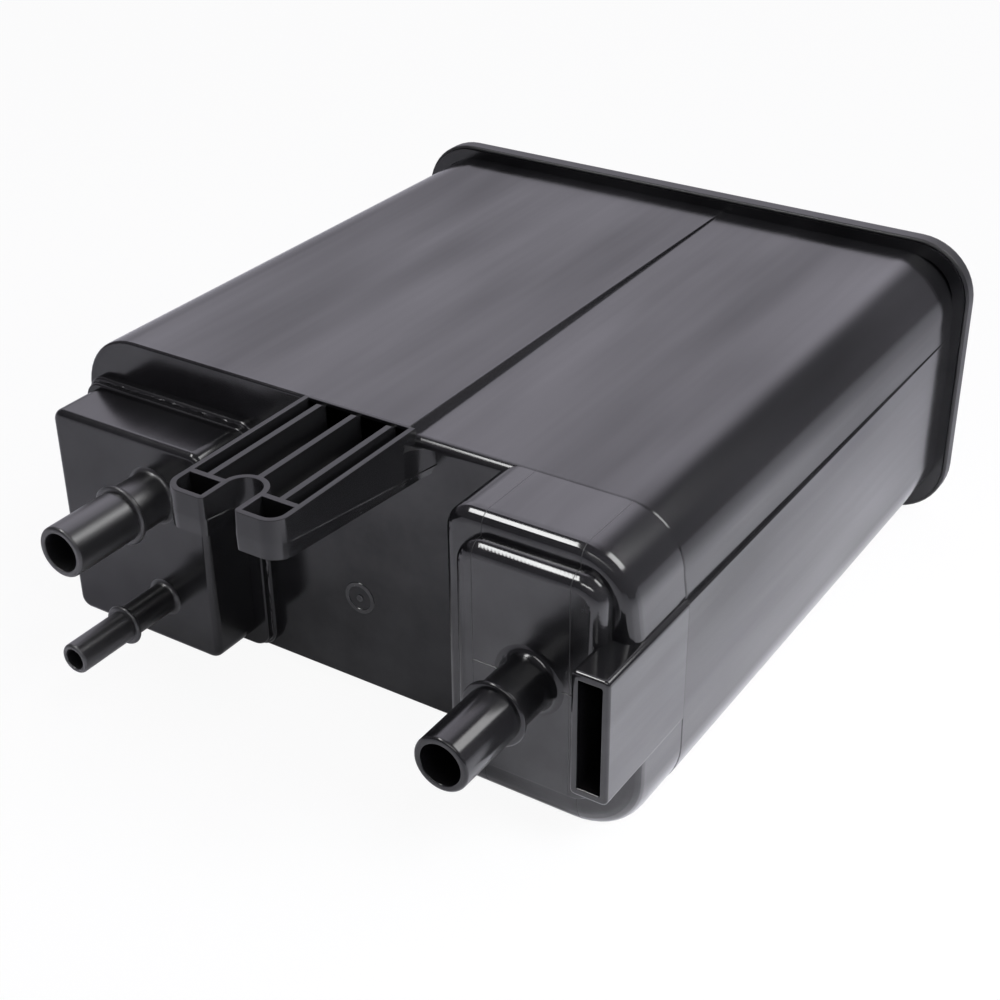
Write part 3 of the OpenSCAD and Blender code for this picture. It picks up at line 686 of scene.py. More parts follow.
def chamber_outline(sizes, inset, low_inset):
    """The raised chamber's outline, with a notch where the clip pocket stands."""
    shell, chamber, at = sizes.shell, sizes.chamber, Places(sizes)
    left, low = chamber.left + inset, at.low + chamber.seam + low_inset
    side, upper = at.half_w - chamber.seam - inset, at.right_x - chamber.seam - inset
    above = at.half_w - shell.ledge_share * shell.step_front - chamber.seam - inset
    top = at.right_top - chamber.seam - inset
    left_r, low_r = chamber.side_r - inset, shell.corner_r - inset
    top_r = shell.corner_r - shell.step_front - chamber.seam - inset
    notch_x = at.pocket_x + BITE
    notch_low, notch_top = at.pocket_low + BITE, at.pocket_top - BITE
    return (
        quarter(left + left_r, low + left_r, left_r, 180)
        + quarter(side - low_r, low + low_r, low_r, 270)
        + [(side, notch_low), (notch_x, notch_low), (notch_x, notch_top), (above, notch_top)]
        + quarter(upper - top_r, top - top_r, top_r, 0)
        + quarter(left + left_r, top - left_r, left_r, 90)
    )


def plate_outline(sizes, inset, low_inset):
    """The boss plate's outline, drawn in by inset, and by low_inset at its underside."""
    chamber, at = sizes.chamber, Places(sizes)
    x0, x1 = at.plate_x, at.plate_x + chamber.plate_w
    z0, z1 = at.plate_z, at.plate_z + chamber.plate_h
    r = chamber.plate_r - inset
    return rounded_box(x0 + inset, z0 + low_inset, x1 - inset, z1 - inset, r)


class CANISTER_OT_chamber(bpy.types.Operator):
    """Models the raised vent chamber and its boss plate"""

    bl_idname = "canister.chamber"
    bl_label = "Vent Chamber"

    def execute(self, context):
        sizes = context.scene.canister
        shell, chamber, at = sizes.shell, sizes.chamber, Places(sizes)
        bore = bore_hole(at.vent, sizes.nipple.large_bore, shell.wall)
        radii = chamber.edge_r, chamber.low_r
        root_y, inner_y = at.front + CHAMBER_ROOT * shell.wall, at.chamber_y + shell.wall
        bm = bmesh.new()
        rings = [(root_y, chamber_outline(sizes, 0, 0))]
        rings += rounded_end(at.chamber_y, partial(chamber_outline, sizes), *radii)
        outside = loft(bm, rings)
        hollow = loft(bm, [(root_y, vent_hollow(sizes)), (inner_y, vent_hollow(sizes))])
        fill(bm, outside[0], hollow[0])
        pierced_wall(bm, (at.chamber_y, outside[-1]), (inner_y, hollow[1]), [bore])
        finish_piece(bm, sizes, "vent_chamber", [GLOSS], "canister_body")

        bm = bmesh.new()
        back = at.chamber_y + BITE
        rings = [(back, plate_outline(sizes, 0, 0))]
        for t in reversed(edge_stops(chamber.edge_r)):
            insets = edge_inset(chamber.edge_r, t), edge_inset(chamber.plate_low_r, t)
            rings.append((at.plate_y + t, plate_outline(sizes, *insets)))
        outside = loft(bm, rings)
        for edge_face in bm.faces:
            edge_face.material_index = 1
        pierced_wall(bm, (at.plate_y, outside[-1]), (back, outside[0]), [bore])
        finish_piece(bm, sizes, "boss_plate", [SOFT, CUT], "canister_body")
        return {"FINISHED"}


class CANISTER_OT_pocket(bpy.types.Operator):
    """Models the pocket for a flat clip"""

    bl_idname = "canister.pocket"
    bl_label = "Clip Pocket"

    def execute(self, context):
        sizes = context.scene.canister
        chamber, at = sizes.chamber, Places(sizes)
        front = at.front - chamber.pocket_d
        wall_x = (chamber.pocket_w - chamber.mouth_w) / 2
        wall_z = (chamber.pocket_h - chamber.mouth_h) / 2

        def outside(inset):
            return rounded_box(
                at.pocket_x + inset,
                at.pocket_low + inset,
                at.half_w - inset,
                at.pocket_top - inset,
                POCKET_CORNER * chamber.pocket_r - inset,
            )

        def mouth(grow):
            return rounded_box(
                at.pocket_x + wall_x - grow,
                at.pocket_low + wall_z - grow,
                at.half_w - wall_x + grow,
                at.pocket_top - wall_z + grow,
                chamber.mouth_r + grow,
            )

        bm = bmesh.new()
        rings = [(at.front + POCKET_ROOT * sizes.shell.front_r, outside(0))]
        rings += rounded_end(front, outside, chamber.pocket_r)
        rings += reversed(rounded_end(front, mouth, chamber.mouth_r))
        rings.append((front + chamber.mouth_d, mouth(0)))
        solid(bm, rings)
        finish_piece(bm, sizes, "clip_pocket", [GLOSS], "canister_body")
        return {"FINISHED"}


def bracket_outline(sizes, inset):
    """The bracket's plan with its open slot, drawn in by inset, as X and Y."""
    bracket, at = sizes.bracket, Places(sizes)
    half, r, mouth = bracket.width / 2, bracket.corner_r, bracket.mouth_r
    tip, back = at.front - bracket.reach, at.front + BITE
    slot, slot_y = bracket.slot_w / 2 + inset, at.front - bracket.slot_y
    turns = [math.pi * k / SLOT_STEPS for k in range(1, SLOT_STEPS)]
    plan = (
        [(half - inset, back)]
        + [(-half + inset, back)]
        + quarter(r - half, tip + r, r - inset, 180)
        + quarter(-slot - mouth + inset, tip + mouth, mouth - inset, 270, MOUTH_STEPS)
        + [(-slot, slot_y)]
        + [(-slot * math.cos(a), slot_y + slot * math.sin(a)) for a in turns]
        + [(slot, slot_y)]
        + quarter(slot + mouth - inset, tip + mouth, mouth - inset, 180, MOUTH_STEPS)
        + quarter(half - r, tip + r, r - inset, 270)
    )
    return [(bracket.middle + x, y) for x, y in plan]


def bracket_pockets(sizes):
    """The plans of the bracket's hollows: the long one towards the shell and one in each prong."""
    bracket, at = sizes.bracket, Places(sizes)
    rib, half = bracket.rib_t, bracket.width / 2
    collar, slot_y = bracket.slot_w / 2 + rib, at.front - bracket.slot_y
    tip, side, cross = at.front - bracket.reach + rib, half - rib, slot_y + rib / 2
    low = math.asin(rib / 2 / collar)
    turns = [math.pi - low + (2 * low - math.pi) * k / SLOT_STEPS for k in range(SLOT_STEPS + 1)]
    corner = bracket.corner_r - rib
    long_one = [(side, cross), (side, at.front), (-side, at.front), (-side, cross)]
    long_one += [(collar * math.cos(a), slot_y + collar * math.sin(a)) for a in turns]
    prong = [(collar, slot_y - rib / 2), (collar, tip)]
    prong += quarter(side - corner, tip + corner, corner, 270, PRONG_STEPS)
    prong += [(side, slot_y - rib / 2)]
    plans = [long_one, prong, [(-x, y) for x, y in prong]]
    return [[(bracket.middle + x, y) for x, y in plan] for plan in plans]


class CANISTER_OT_bracket(bpy.types.Operator):
    """Models the ribbed bracket with its open slot"""

    bl_idname = "canister.bracket"
    bl_label = "Bracket"

    def execute(self, context):
        sizes = context.scene.canister
        bracket, at = sizes.bracket, Places(sizes)
        bm = bmesh.new()

        def down(y, at_root, at_tip):
            return at.top - at_root + (at_root - at_tip) * (at.front - y) / bracket.reach

        def part_z(y):
            return down(y, bracket.part_root, bracket.part_tip)

        def low_z(y):
            return down(y, bracket.root_h, bracket.height)

        ridge = bracket.part_out
        plan = bracket_outline(sizes, 0)
        upper = loop(bm, [(x, y, at.top) for x, y in bracket_outline(sizes, bracket.lean)])
        tip = at.front - bracket.reach
        crest = []
        for (x0, y0), (x1, y1) in zip(plan, bracket_outline(sizes, -ridge)):
            share = min(1, max(0, (y0 - tip) / bracket.corner_r - 1))
            crest.append((x0 + (x1 - x0) * share, y0 + (y1 - y0) * share, part_z(y0)))
        loops = [
            upper,
            loop(bm, [(x, y, part_z(y) + bracket.part_rise) for x, y in plan]),
            loop(bm, crest),
            loop(bm, [(x, y, part_z(y) - ridge) for x, y in plan]),
            loop(bm, [(x, y, low_z(y)) for x, y in bracket_outline(sizes, bracket.draft)]),
        ]
        self.join_sides(bm, loops, tip + bracket.corner_r)
        fill(bm, loops[-1])
        mouths = []
        floor_z = at.top - bracket.height + bracket.floor_t
        for pocket in bracket_pockets(sizes):
            mouths.append(loop(bm, [(x, y, at.top) for x, y in pocket]))
            base = loop(bm, [(x, y, floor_z) for x, y in pocket])
            bridge(bm, mouths[-1], base)
            fill(bm, base)
        fill(bm, upper, *mouths)
        bmesh.ops.recalc_face_normals(bm, faces=bm.faces)
        self.round_edges(bm, [e for edges in [upper, *mouths] for e in edges], bracket.edge_r)
        self.add_ribs(bm, sizes)
        self.add_flare(bm, sizes, part_z, low_z)
        for face in bm.faces:
            if face.normal.z > LEVEL and face.calc_center_median().z > at.top - bracket.edge_r:
                face.material_index = 1
        finish_piece(bm, sizes, "mounting_bracket", [SMOOTH, RIB, FLASH], "canister_body")
        return {"FINISHED"}

    def join_sides(self, bm, loops, ridge_y):
        """Joins five loops from the top down. Behind ridge_y, the two strips in the middle are
        the parting ridge.
        """
        for strip, (first, second) in enumerate(zip(loops, loops[1:])):
            others = set(bm.faces)
            bridge(bm, first, second)
            for face in set(bm.faces) - others:
                if strip in (1, 2) and face.calc_center_median().y > ridge_y:
                    face.material_index = 2

    def round_edges(self, bm, edges, r):
        """Rounds the edges slightly."""
        bmesh.ops.bevel(
            bm,
            geom=edges,
            offset=r,
            offset_type="OFFSET",
            affect="EDGES",
            segments=2,
            profile=0.5,
            material=-1,
            clamp_overlap=True,
        )

    def add_ribs(self, bm, sizes):
        """Adds the three inner ribs, the middle one from the slot's collar."""
        bracket, at = sizes.bracket, Places(sizes)
        half, slot_y = bracket.rib_t / 2, at.front - bracket.slot_y
        low, top = at.top - bracket.height + bracket.floor_t / 2, at.top - RIB_BELOW
        back = at.front + half / 2
        starts = slot_y, slot_y + bracket.slot_w / 2, slot_y
        for place, start in zip((-bracket.rib_pitch, 0, bracket.rib_pitch), starts):
            side = [
                (start + half / 2, low),
                (back, low),
                (back, top - bracket.rib_drop),
                (at.front - bracket.rib_back, top),
                (start + half / 2, top),
            ]
            middle = bracket.middle + place
            ends = [loop(bm, [(middle + x, y, z) for y, z in side]) for x in (-half, half)]
            bridge(bm, *ends)
            faces = [bmesh.ops.contextual_create(bm, geom=end)["faces"][0] for end in ends]
            bmesh.ops.recalc_face_normals(bm, faces=bm.faces)
            edges = [e for face in faces for e in face.edges]
            tops = [e for e in edges if min(v.co.z for v in e.verts) > low + half]
            self.round_edges(bm, tops, bracket.edge_r)

    def add_flare(self, bm, sizes, part_z, low_z):
        """Adds the flare between the bracket's right side and the shell."""
        bracket, at = sizes.bracket, Places(sizes)
        x0, r = bracket.middle + bracket.width / 2 - bracket.lean, bracket.root_r
        bend = [(x0 - BITE, at.front - r), *reversed(quarter(x0 + r, at.front - r, r, 90))]
        outline = [(x0 - BITE, at.front + BITE / 2), *bend, (x0 + r, at.front + BITE / 2)]

        def rise(x):
            return bracket.root_rise * max(0, (x - x0) / r)

        ridge, draft = bracket.part_out, bracket.draft
        top = at.right_top - bracket.root_down
        loops = [
            loop(bm, [(x, y, top) for x, y in outline]),
            loop(bm, [(x, y, part_z(y) + rise(x) + bracket.part_rise) for x, y in outline]),
            loop(bm, [(x + ridge, y - ridge, part_z(y) + rise(x)) for x, y in outline]),
            loop(bm, [(x, y, part_z(y) + rise(x) - ridge) for x, y in outline]),
            loop(bm, [(x - draft, y + draft, low_z(y) + rise(x)) for x, y in outline]),
        ]
        self.join_sides(bm, loops, at.front - bracket.reach)
        fill(bm, loops[0])
        fill(bm, loops[-1])


def nipple(bm, sizes, middle, face, neck, tip, outside, bore, base_r):
    """One hose nipple on a face, with its base's fillet, its bead and its rounded tip."""
    n = sizes.nipple
    others = set(bm.faces)
    r, inner = outside / 2, bore / 2
    bead, end = face - neck, face - neck - tip
    half_turn = [math.pi * k / BEAD_STEPS for k in range(BEAD_STEPS + 1)]
    profile = [(inner, face + BITE), (r + base_r, face + BITE)]
    profile += [
        (r + base_r * (1 - math.sin(a)), face - base_r * (1 - math.cos(a))) for a in EDGE_TURNS
    ]
    profile += [
        (r + n.bead_out * math.sin(a) ** BEAD_FULL, bead + n.bead_l / 2 * math.cos(a))
        for a in half_turn
    ]
    profile += [
        (r - n.tip_r * (1 - math.cos(a)), end + n.tip_r * (1 - math.sin(a))) for a in EDGE_TURNS
    ]
    profile += [
        (inner + n.mouth_r * (1 - math.sin(a)), end + n.mouth_r * (1 - math.cos(a)))
        for a in EDGE_TURNS
    ]
    turned(bm, *middle, profile)
    for made in set(bm.faces) - others:
        made.material_index = 1


class CANISTER_OT_vent_nipple(bpy.types.Operator):
    """Models the vent nipple on the boss plate, with the parting lines beside it"""

    bl_idname = "canister.vent_nipple"
    bl_label = "Vent Nipple"

    def execute(self, context):
        sizes = context.scene.canister
        n, at = sizes.nipple, Places(sizes)
        bm = bmesh.new()
        large = n.large_od, n.large_bore, n.vent_base_r
        nipple(bm, sizes, at.vent, at.plate_y, n.vent_neck, n.large_tip, *large)
        x, z = at.vent
        reach, high, r = n.large_od / 2 + n.vent_base_r, n.line_h, n.line_h / 4
        for x0 in (x - reach - n.line_l, x + reach - BITE):
            x1 = x0 + n.line_l + BITE
            foot = rounded_box(x0, z - high, x1, z + high, r)
            crest = rounded_box(x0, z - high / 2, x1, z + high / 2, r)
            face = at.plate_y
            solid(bm, [(face + BITE, foot), (face, foot), (face - high, crest)])
        finish_piece(bm, sizes, "vent_nipple", [GLOSS, TURNED], "canister_body")
        return {"FINISHED"}


class CANISTER_OT_port_cap(bpy.types.Operator):
    """Models the port cap with its two nipples and the pad that it is welded to"""

    bl_idname = "canister.port_cap"
    bl_label = "Port Cap"

    def execute(self, context):
        sizes = context.scene.canister
        cap, n, at = sizes.cap, sizes.nipple, Places(sizes)
        pad_y, root_y = at.front - cap.pad_t, at.front + BITE
        inside = cap_box(sizes, cap.wall, cap.corner_r - cap.wall / 2)

        def pad(inset):
            return cap_flange(sizes, cap.pad_over - inset)

        def block(inset):
            return cap_box(sizes, inset, cap.corner_r - inset)

        def flange(inset):
            return cap_flange(sizes, -inset)

        bm = bmesh.new()
        rings = [(root_y, pad(0)), *rounded_end(pad_y, pad, cap.pad_edge)]
        loft(bm, [*rings, (pad_y, inside), (root_y, inside)], closed=True)
        finish_piece(bm, sizes, "cap_pad", [SMOOTH], "canister_body")

        bm = bmesh.new()
        block_y, inner_y = pad_y - BITE / 2, at.cap_y + cap.wall
        outside = loft(bm, [(block_y, block(0)), *rounded_end(at.cap_y, block, cap.edge_r)])
        hollow = loft(bm, [(block_y, inside), (inner_y, inside)])
        fill(bm, outside[0], hollow[0])
        bores = (at.tank, n.large_bore), (at.purge, n.small_bore)
        holes = [bore_hole(middle, bore, cap.wall) for middle, bore in bores]
        pierced_wall(bm, (at.cap_y, outside[-1]), (inner_y, hollow[1]), holes)
        flange_y = pad_y - cap.flange_t
        rim = loft(bm, [(pad_y, flange(0)), *rounded_end(flange_y, flange, cap.flange_edge)])
        seat = cap_box(sizes, cap.wall / 2, cap.corner_r - cap.wall / 2)
        pierced_wall(bm, (pad_y, rim[0]), (flange_y, rim[-1]), [seat])
        large = n.large_od, n.large_bore, n.cap_base_r
        small = n.small_od, n.small_bore, n.cap_base_r
        nipple(bm, sizes, at.tank, at.cap_y, n.tank_neck, n.large_tip, *large)
        nipple(bm, sizes, at.purge, at.cap_y, n.purge_neck, n.small_tip, *small)
        finish_piece(bm, sizes, "port_cap_moulding", [SMOOTH, ERODED], "port_cap")
        return {"FINISHED"}


class CANISTER_OT_weld_flash(bpy.types.Operator):
    """Models the rough flash along the cap's weld"""

    bl_idname = "canister.weld_flash"
    bl_label = "Weld Flash"

    def execute(self, context):
        sizes = context.scene.canister
        r, weld_y = sizes.cap.flash_r, Places(sizes).front - sizes.cap.pad_t
        draw = random.Random(FLASH_SEED)
        bm = bmesh.new()
        turns = [math.tau * k / FLASH_SIDES for k in range(FLASH_SIDES)]
        rings = [
            (weld_y - r * math.sin(a), cap_flange(sizes, r * (FLASH_SHIFT + math.cos(a))))
            for a in turns
        ]
        loft(bm, rings, closed=True)
        long_edges = [e for e in bm.edges if e.calc_length() > FLASH_LONG]
        bmesh.ops.subdivide_edges(bm, edges=long_edges, cuts=FLASH_CUTS, use_grid_fill=True)
        for vert in bm.verts:
            vert.co += Vector([draw.uniform(-FLASH_ROUGH, FLASH_ROUGH) * r for _ in range(3)])
        finish_piece(bm, sizes, "cap_weld_flash", [FLASH])
        return {"FINISHED"}


class CANISTER_OT_rear_cover(bpy.types.Operator):
    """Models the rear cover with its skirt, raised field and spring bosses"""

    bl_idname = "canister.rear_cover"
    bl_label = "Rear Cover"

    def execute(self, context):
        sizes = context.scene.canister
        shell, cover, at = sizes.shell, sizes.cover, Places(sizes)
        gap = shell.flange_over + cover.skirt_gap
        over = gap + cover.skirt_t
        front, back = at.flange_y - shell.flange_t + SKIRT_SHORT, COVER_BACK - cover.field_h

        def skirt(inset):
            return rim_outline(sizes, over - inset)

        def field_top(inset):
            return field_outline(sizes, cover.field_r / 3 + inset)

        bm = bmesh.new()
        rings = [(at.flange_y, rim_outline(sizes, gap)), (front, rim_outline(sizes, gap))]
        rings += reversed(rounded_end(front, skirt, cover.skirt_r))
        rings += rounded_end(back, skirt, cover.rim_r, way=-1)
        rim = loft(bm, rings)
        rings = [(back, field_outline(sizes, 0))]
        rings += rounded_end(COVER_BACK, field_top, cover.field_r, way=-1)
        field = loft(bm, rings)
        fill(bm, rim[0])
        fill(bm, rim[-1], field[0])
        fill(bm, field[-1])
        for name in sorted(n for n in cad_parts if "_spring_" in n):
            self.add_boss(bm, cover, at.flange_y, *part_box(name))
        finish_piece(bm, sizes, "rear_cover_moulding", [DULL], "rear_cover")
        return {"FINISHED"}

    def add_boss(self, bm, cover, base, spring_low, spring_high):
        """Adds the boss that holds a spring, given the corners of the spring's box."""
        middle = (spring_low + spring_high) / 2
        r = (spring_high.x - spring_low.x) / 2 - cover.spring_wire - cover.seat_gap

        def disc(inset):
            return circle(middle.x, middle.z, r - inset, BOSS_STEPS)

        top = rounded_end(base - cover.seat_h, disc, BOSS_EDGE)
        solid(bm, [*reversed(top), (base + BITE, disc(0))])


class CANISTER_OT_gate_mark(bpy.types.Operator):
    """Models the round mark where the mould was filled, on the shell's front"""

    bl_idname = "canister.gate_mark"
    bl_label = "Gate Mark"

    def execute(self, context):
        sizes = context.scene.canister
        r, rise, front = GATE_R, GATE_RISE, Places(sizes).front
        root, crest = front + rise, front - rise / 2
        bm = bmesh.new()
        ridge = [(r - 4 * rise, root), (r + rise, root), (r, crest), (r - 3 * rise, crest)]
        turned(bm, *GATE_PLACE, ridge)
        dot = [circle(*GATE_PLACE, rise * share, DOT_STEPS) for share in GATE_DOT]
        solid(bm, list(zip((root, crest, front - rise), dot)))
        finish_piece(bm, sizes, "gate_mark", [FLASH], "canister_body")
        return {"FINISHED"}


def node(tree, kind, inputs=(), **settings):
    """Adds a node, with its settings and its inputs, which are values or other nodes' outputs."""
    made = tree.nodes.new(kind)
    for key, value in settings.items():
        setattr(made, key, value)
    for key, value in dict(inputs).items():
        if isinstance(value, bpy.types.NodeSocket):
            tree.links.new(value, made.inputs[key])
        else:
            made.inputs[key].default_value = value
    return made


def compute(tree, operation, *values):
    """The result of a calculation."""
    return node(tree, "ShaderNodeMath", dict(enumerate(values)), operation=operation).outputs[0]


def noise(tree, place, scale, detail, **inputs):
    """Noise around 0.5."""
    inputs |= {"Vector": place, "Scale": scale, "Detail": detail}
    return node(tree, "ShaderNodeTexNoise", inputs).outputs["Fac"]


def drawn_out(tree, place, stretch):
    """A place in a pattern that is drawn out along Y."""
    inputs = {"Vector": place, "Scale": (1.0, stretch, 1.0)}
    return node(tree, "ShaderNodeMapping", inputs).outputs["Vector"]


def spread_over(tree, value, span, levels, kind="LINEAR"):
    """A change between two levels over a span of a value."""
    inputs = {"Value": value}
    inputs |= zip(("From Min", "From Max", "To Min", "To Max"), (*span, *levels))
    return node(tree, "ShaderNodeMapRange", inputs, interpolation_type=kind).outputs["Result"]


def relief(tree, strength, depth, height, **inputs):
    """The normal of a surface that a height disturbs."""
    inputs |= {"Strength": strength, "Distance": depth, "Height": height}
    return node(tree, "ShaderNodeBump", inputs).outputs["Normal"]


def grain_height(tree, given, place):
    """Fine grain of a moulded surface over wider unevenness."""
    fine = noise(tree, place, given["Scale"], 3.0, Roughness=GRAIN_ROUGH)
    wide = noise(tree, place, UNEVEN_SCALE, 2.0)
    return compute(tree, "MULTIPLY_ADD", wide, UNEVEN_SHARE, fine)


def streak_mask(tree, given, place):
    """Lengthwise streaks and clouds that the mould leaves as it draws off along Y."""
    total = 0.0
    for scale, stretch, share in STREAK_LAYERS:
        width = compute(tree, "MULTIPLY", given["Width"], scale)
        layer = noise(tree, drawn_out(tree, place, stretch), width, 2.0)
        total = compute(tree, "MULTIPLY_ADD", layer, share, total)
    return spread_over(tree, total, STREAK_SPAN, (0, 1))


def wave_height(tree, given, place):
    """Slight waves in a moulded wall."""
    return noise(tree, drawn_out(tree, place, WAVE_STRETCH), given["Scale"], 1.0)


def line_mask(tree, given, place):
    """Hairlines that a mould's insert leaves at two places across the part."""
    across = node(tree, "ShaderNodeSeparateXYZ", {0: place}).outputs["X"]
    half = given["Half Width"]
    marks = [compute(tree, "COMPARE", across, given[side], half) for side in ("Left", "Right")]
    return compute(tree, "MAXIMUM", *marks)


def cutter_height(tree, given, place):
    """Marks of a cutter that went around an edge of the mould."""
    ways = node(tree, "ShaderNodeSeparateXYZ", {0: place}).outputs
    turns = compute(tree, "DIVIDE", compute(tree, "ADD", ways["X"], ways["Z"]), given["Pitch"])
    return compute(tree, "SINE", compute(tree, "MULTIPLY", turns, math.tau))


# The shared effects: their inputs with the usual values, their output and what makes it.
EFFECTS = {
    "moulded grain": ({"Scale": 1500}, "Height", grain_height),
    "draw streaks": ({"Width": 70}, "Mask", streak_mask),
    "wall waves": ({"Scale": 40}, "Height", wave_height),
    "insert lines": ({"Left": 0.0571, "Right": 0.0864, "Half Width": 0.00016}, "Mask", line_mask),
    "cutter marks": ({"Pitch": 0.0011}, "Height", cutter_height),
}


def effect_group(name):
    """The node group of a shared effect, which is made at its first use."""
    if name in bpy.data.node_groups:
        return bpy.data.node_groups[name]
    inputs, output, make = EFFECTS[name]
    group = bpy.data.node_groups.new(name, "ShaderNodeTree")
    add_socket = partial(group.interface.new_socket, socket_type="NodeSocketFloat")
    for key, value in inputs.items():
        add_socket(name=key, in_out="INPUT").default_value = value
    add_socket(name=output, in_out="OUTPUT")
    given = node(group, "NodeGroupInput").outputs
    place = node(group, "ShaderNodeTexCoord").outputs["Object"]
    node(group, "NodeGroupOutput", {output: make(group, given, place)})
    return group


def effect(tree, name, **values):
    """The output of a shared effect in a material, with values of its own."""
    made = node(tree, "ShaderNodeGroup", node_tree=effect_group(name))
    for key, value in values.items():
        made.inputs[key].default_value = value
    return made.outputs[0]


def new_material(name):
    """A new material with its tree and its Principled shader."""
    material = bpy.data.materials.new(name)
    material.use_nodes = True
    return material, material.node_tree, material.node_tree.nodes["Principled BSDF"]


def plastic(sizes, name):
    """Black moulded plastic. Its streaks are duller, paler and lie under more of a skin."""
    if name in bpy.data.materials:
        return bpy.data.materials[name]
    look = PLASTICS[name]
    material, tree, shader = new_material(name)
    base = (*sizes.finish.plastic, 1)
    pale = (*[c * look.haze for c in sizes.finish.plastic], 1)
    streaks = effect(tree, "draw streaks", Width=look.streak_width)
    shade = node(tree, "ShaderNodeMix", {0: streaks, 6: base, 7: pale}, data_type="RGBA")
    dull, coat = [spread_over(tree, streaks, (0, 1), levels) for levels in (look.rough, look.coat)]
    height = effect(tree, "moulded grain", Scale=look.grain_scale)
    if look.lines:
        mark = effect(tree, "insert lines")
        height = compute(tree, "MULTIPLY_ADD", mark, LINE_HEIGHT, height)
        dull = compute(tree, "MULTIPLY_ADD", mark, LINE_DULL, dull)
    if look.cuts:
        height = compute(tree, "MULTIPLY_ADD", effect(tree, "cutter marks"), look.cuts, height)
    swell = relief(tree, look.waves, WAVE_DEPTH, effect(tree, "wall waves"))
    tree.links.new(shade.outputs[2], shader.inputs["Base Color"])
    tree.links.new(dull, shader.inputs["Roughness"])
    tree.links.new(coat, shader.inputs["Coat Weight"])
    bump = relief(tree, look.grain, GRAIN_DEPTH, height, Normal=swell)
    tree.links.new(bump, shader.inputs["Normal"])
    shader.inputs["IOR"].default_value = PLASTIC_IOR
    shader.inputs["Specular IOR Level"].default_value = look.specular
    shader.inputs["Coat Roughness"].default_value = sum(look.rough) / 2
    return material


def inside_finish(name, rgb, roughness, scale, strength, metallic):
    """A finish of grains or fibres: cells that vary in height, with painted shade that darkens them
    towards their edges, where their relief is lowest.
    """
    if name in bpy.data.materials:
        return bpy.data.materials[name]
    material, tree, shader = new_material(name)
    place = node(tree, "ShaderNodeTexCoord").outputs["Object"]
    voronoi = node(tree, "ShaderNodeTexVoronoi", {"Vector": place, "Scale": scale})
    cells = voronoi.outputs["Distance"]
    # Painted shade: the cells darken towards their edges, in the hollows of their relief.
    painted_hollow_shade = (*[c * CELL_PAINTED_SHADE for c in rgb], 1)
    shade = node(tree, "ShaderNodeMix", {0: cells, 6: (*rgb, 1), 7: painted_hollow_shade}, data_type="RGBA")
    grain = effect(tree, "moulded grain", Scale=scale * 2)
    height = compute(tree, "MULTIPLY_ADD", cells, -1.0, grain)
    tree.links.new(shade.outputs[2], shader.inputs["Base Color"])
    tree.links.new(relief(tree, strength, CELL_DEPTH, height), shader.inputs["Normal"])
    shader.inputs["Roughness"].default_value = roughness
    shader.inputs["Metallic"].default_value = metallic
    return material


class CANISTER_OT_inside(bpy.types.Operator):
    """Gives the pieces inside their finishes"""

    bl_idname = "canister.inside"
    bl_label = "Inside Finishes"

    def execute(self, context):
        finish = context.scene.canister.finish
        # Name, colour, roughness, scale of the cells, strength of their relief, and metal.
        grid = "grid plastic", finish.grid, 0.5, 1800, 0.4, 0.0
        kinds = {
            "grid": grid,
            "retainer": grid,
            "felt": ("pressed felt", finish.felt, 0.95, 700, 1.0, 0.0),
            "bed": ("carbon pellets", finish.carbon, 0.7, 350, 1.0, 0.0),
            "spring": ("spring steel", finish.steel, 0.28, 2600, 0.3, 1.0),
            "foam": ("dust foam", finish.foam, 0.9, 500, 1.0, 0.0),
        }
        for name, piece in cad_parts.items():
            kind = next((k for k in kinds if k in name), None)
            if kind:
                piece.data.materials.clear()
                piece.data.materials.append(inside_finish(*kinds[kind]))
        return {"FINISHED"}


def softbox(name, place, aim, along, size, power, mirrored, spread):
    """Adds a soft lamp turned to a point, its length along a direction."""
    light = bpy.data.lights.new(name, "AREA")
    light.shape = "RECTANGLE"
    light.size, light.size_y = size
    light.energy = power
    light.spread = math.radians(spread)
    lamp = bpy.data.objects.new(name, light)
    bpy.context.scene.collection.objects.link(lamp)
    back = (Vector(place) - Vector(aim)).normalized()
    across = back.cross(Vector(along)).normalized()
    turn = Matrix((back.cross(across), across, back)).transposed()
    lamp.matrix_world = Matrix.Translation(place) @ turn.to_4x4()
    lamp.visible_camera = False
    lamp.visible_glossy = mirrored
    lamp.visible_diffuse = not mirrored


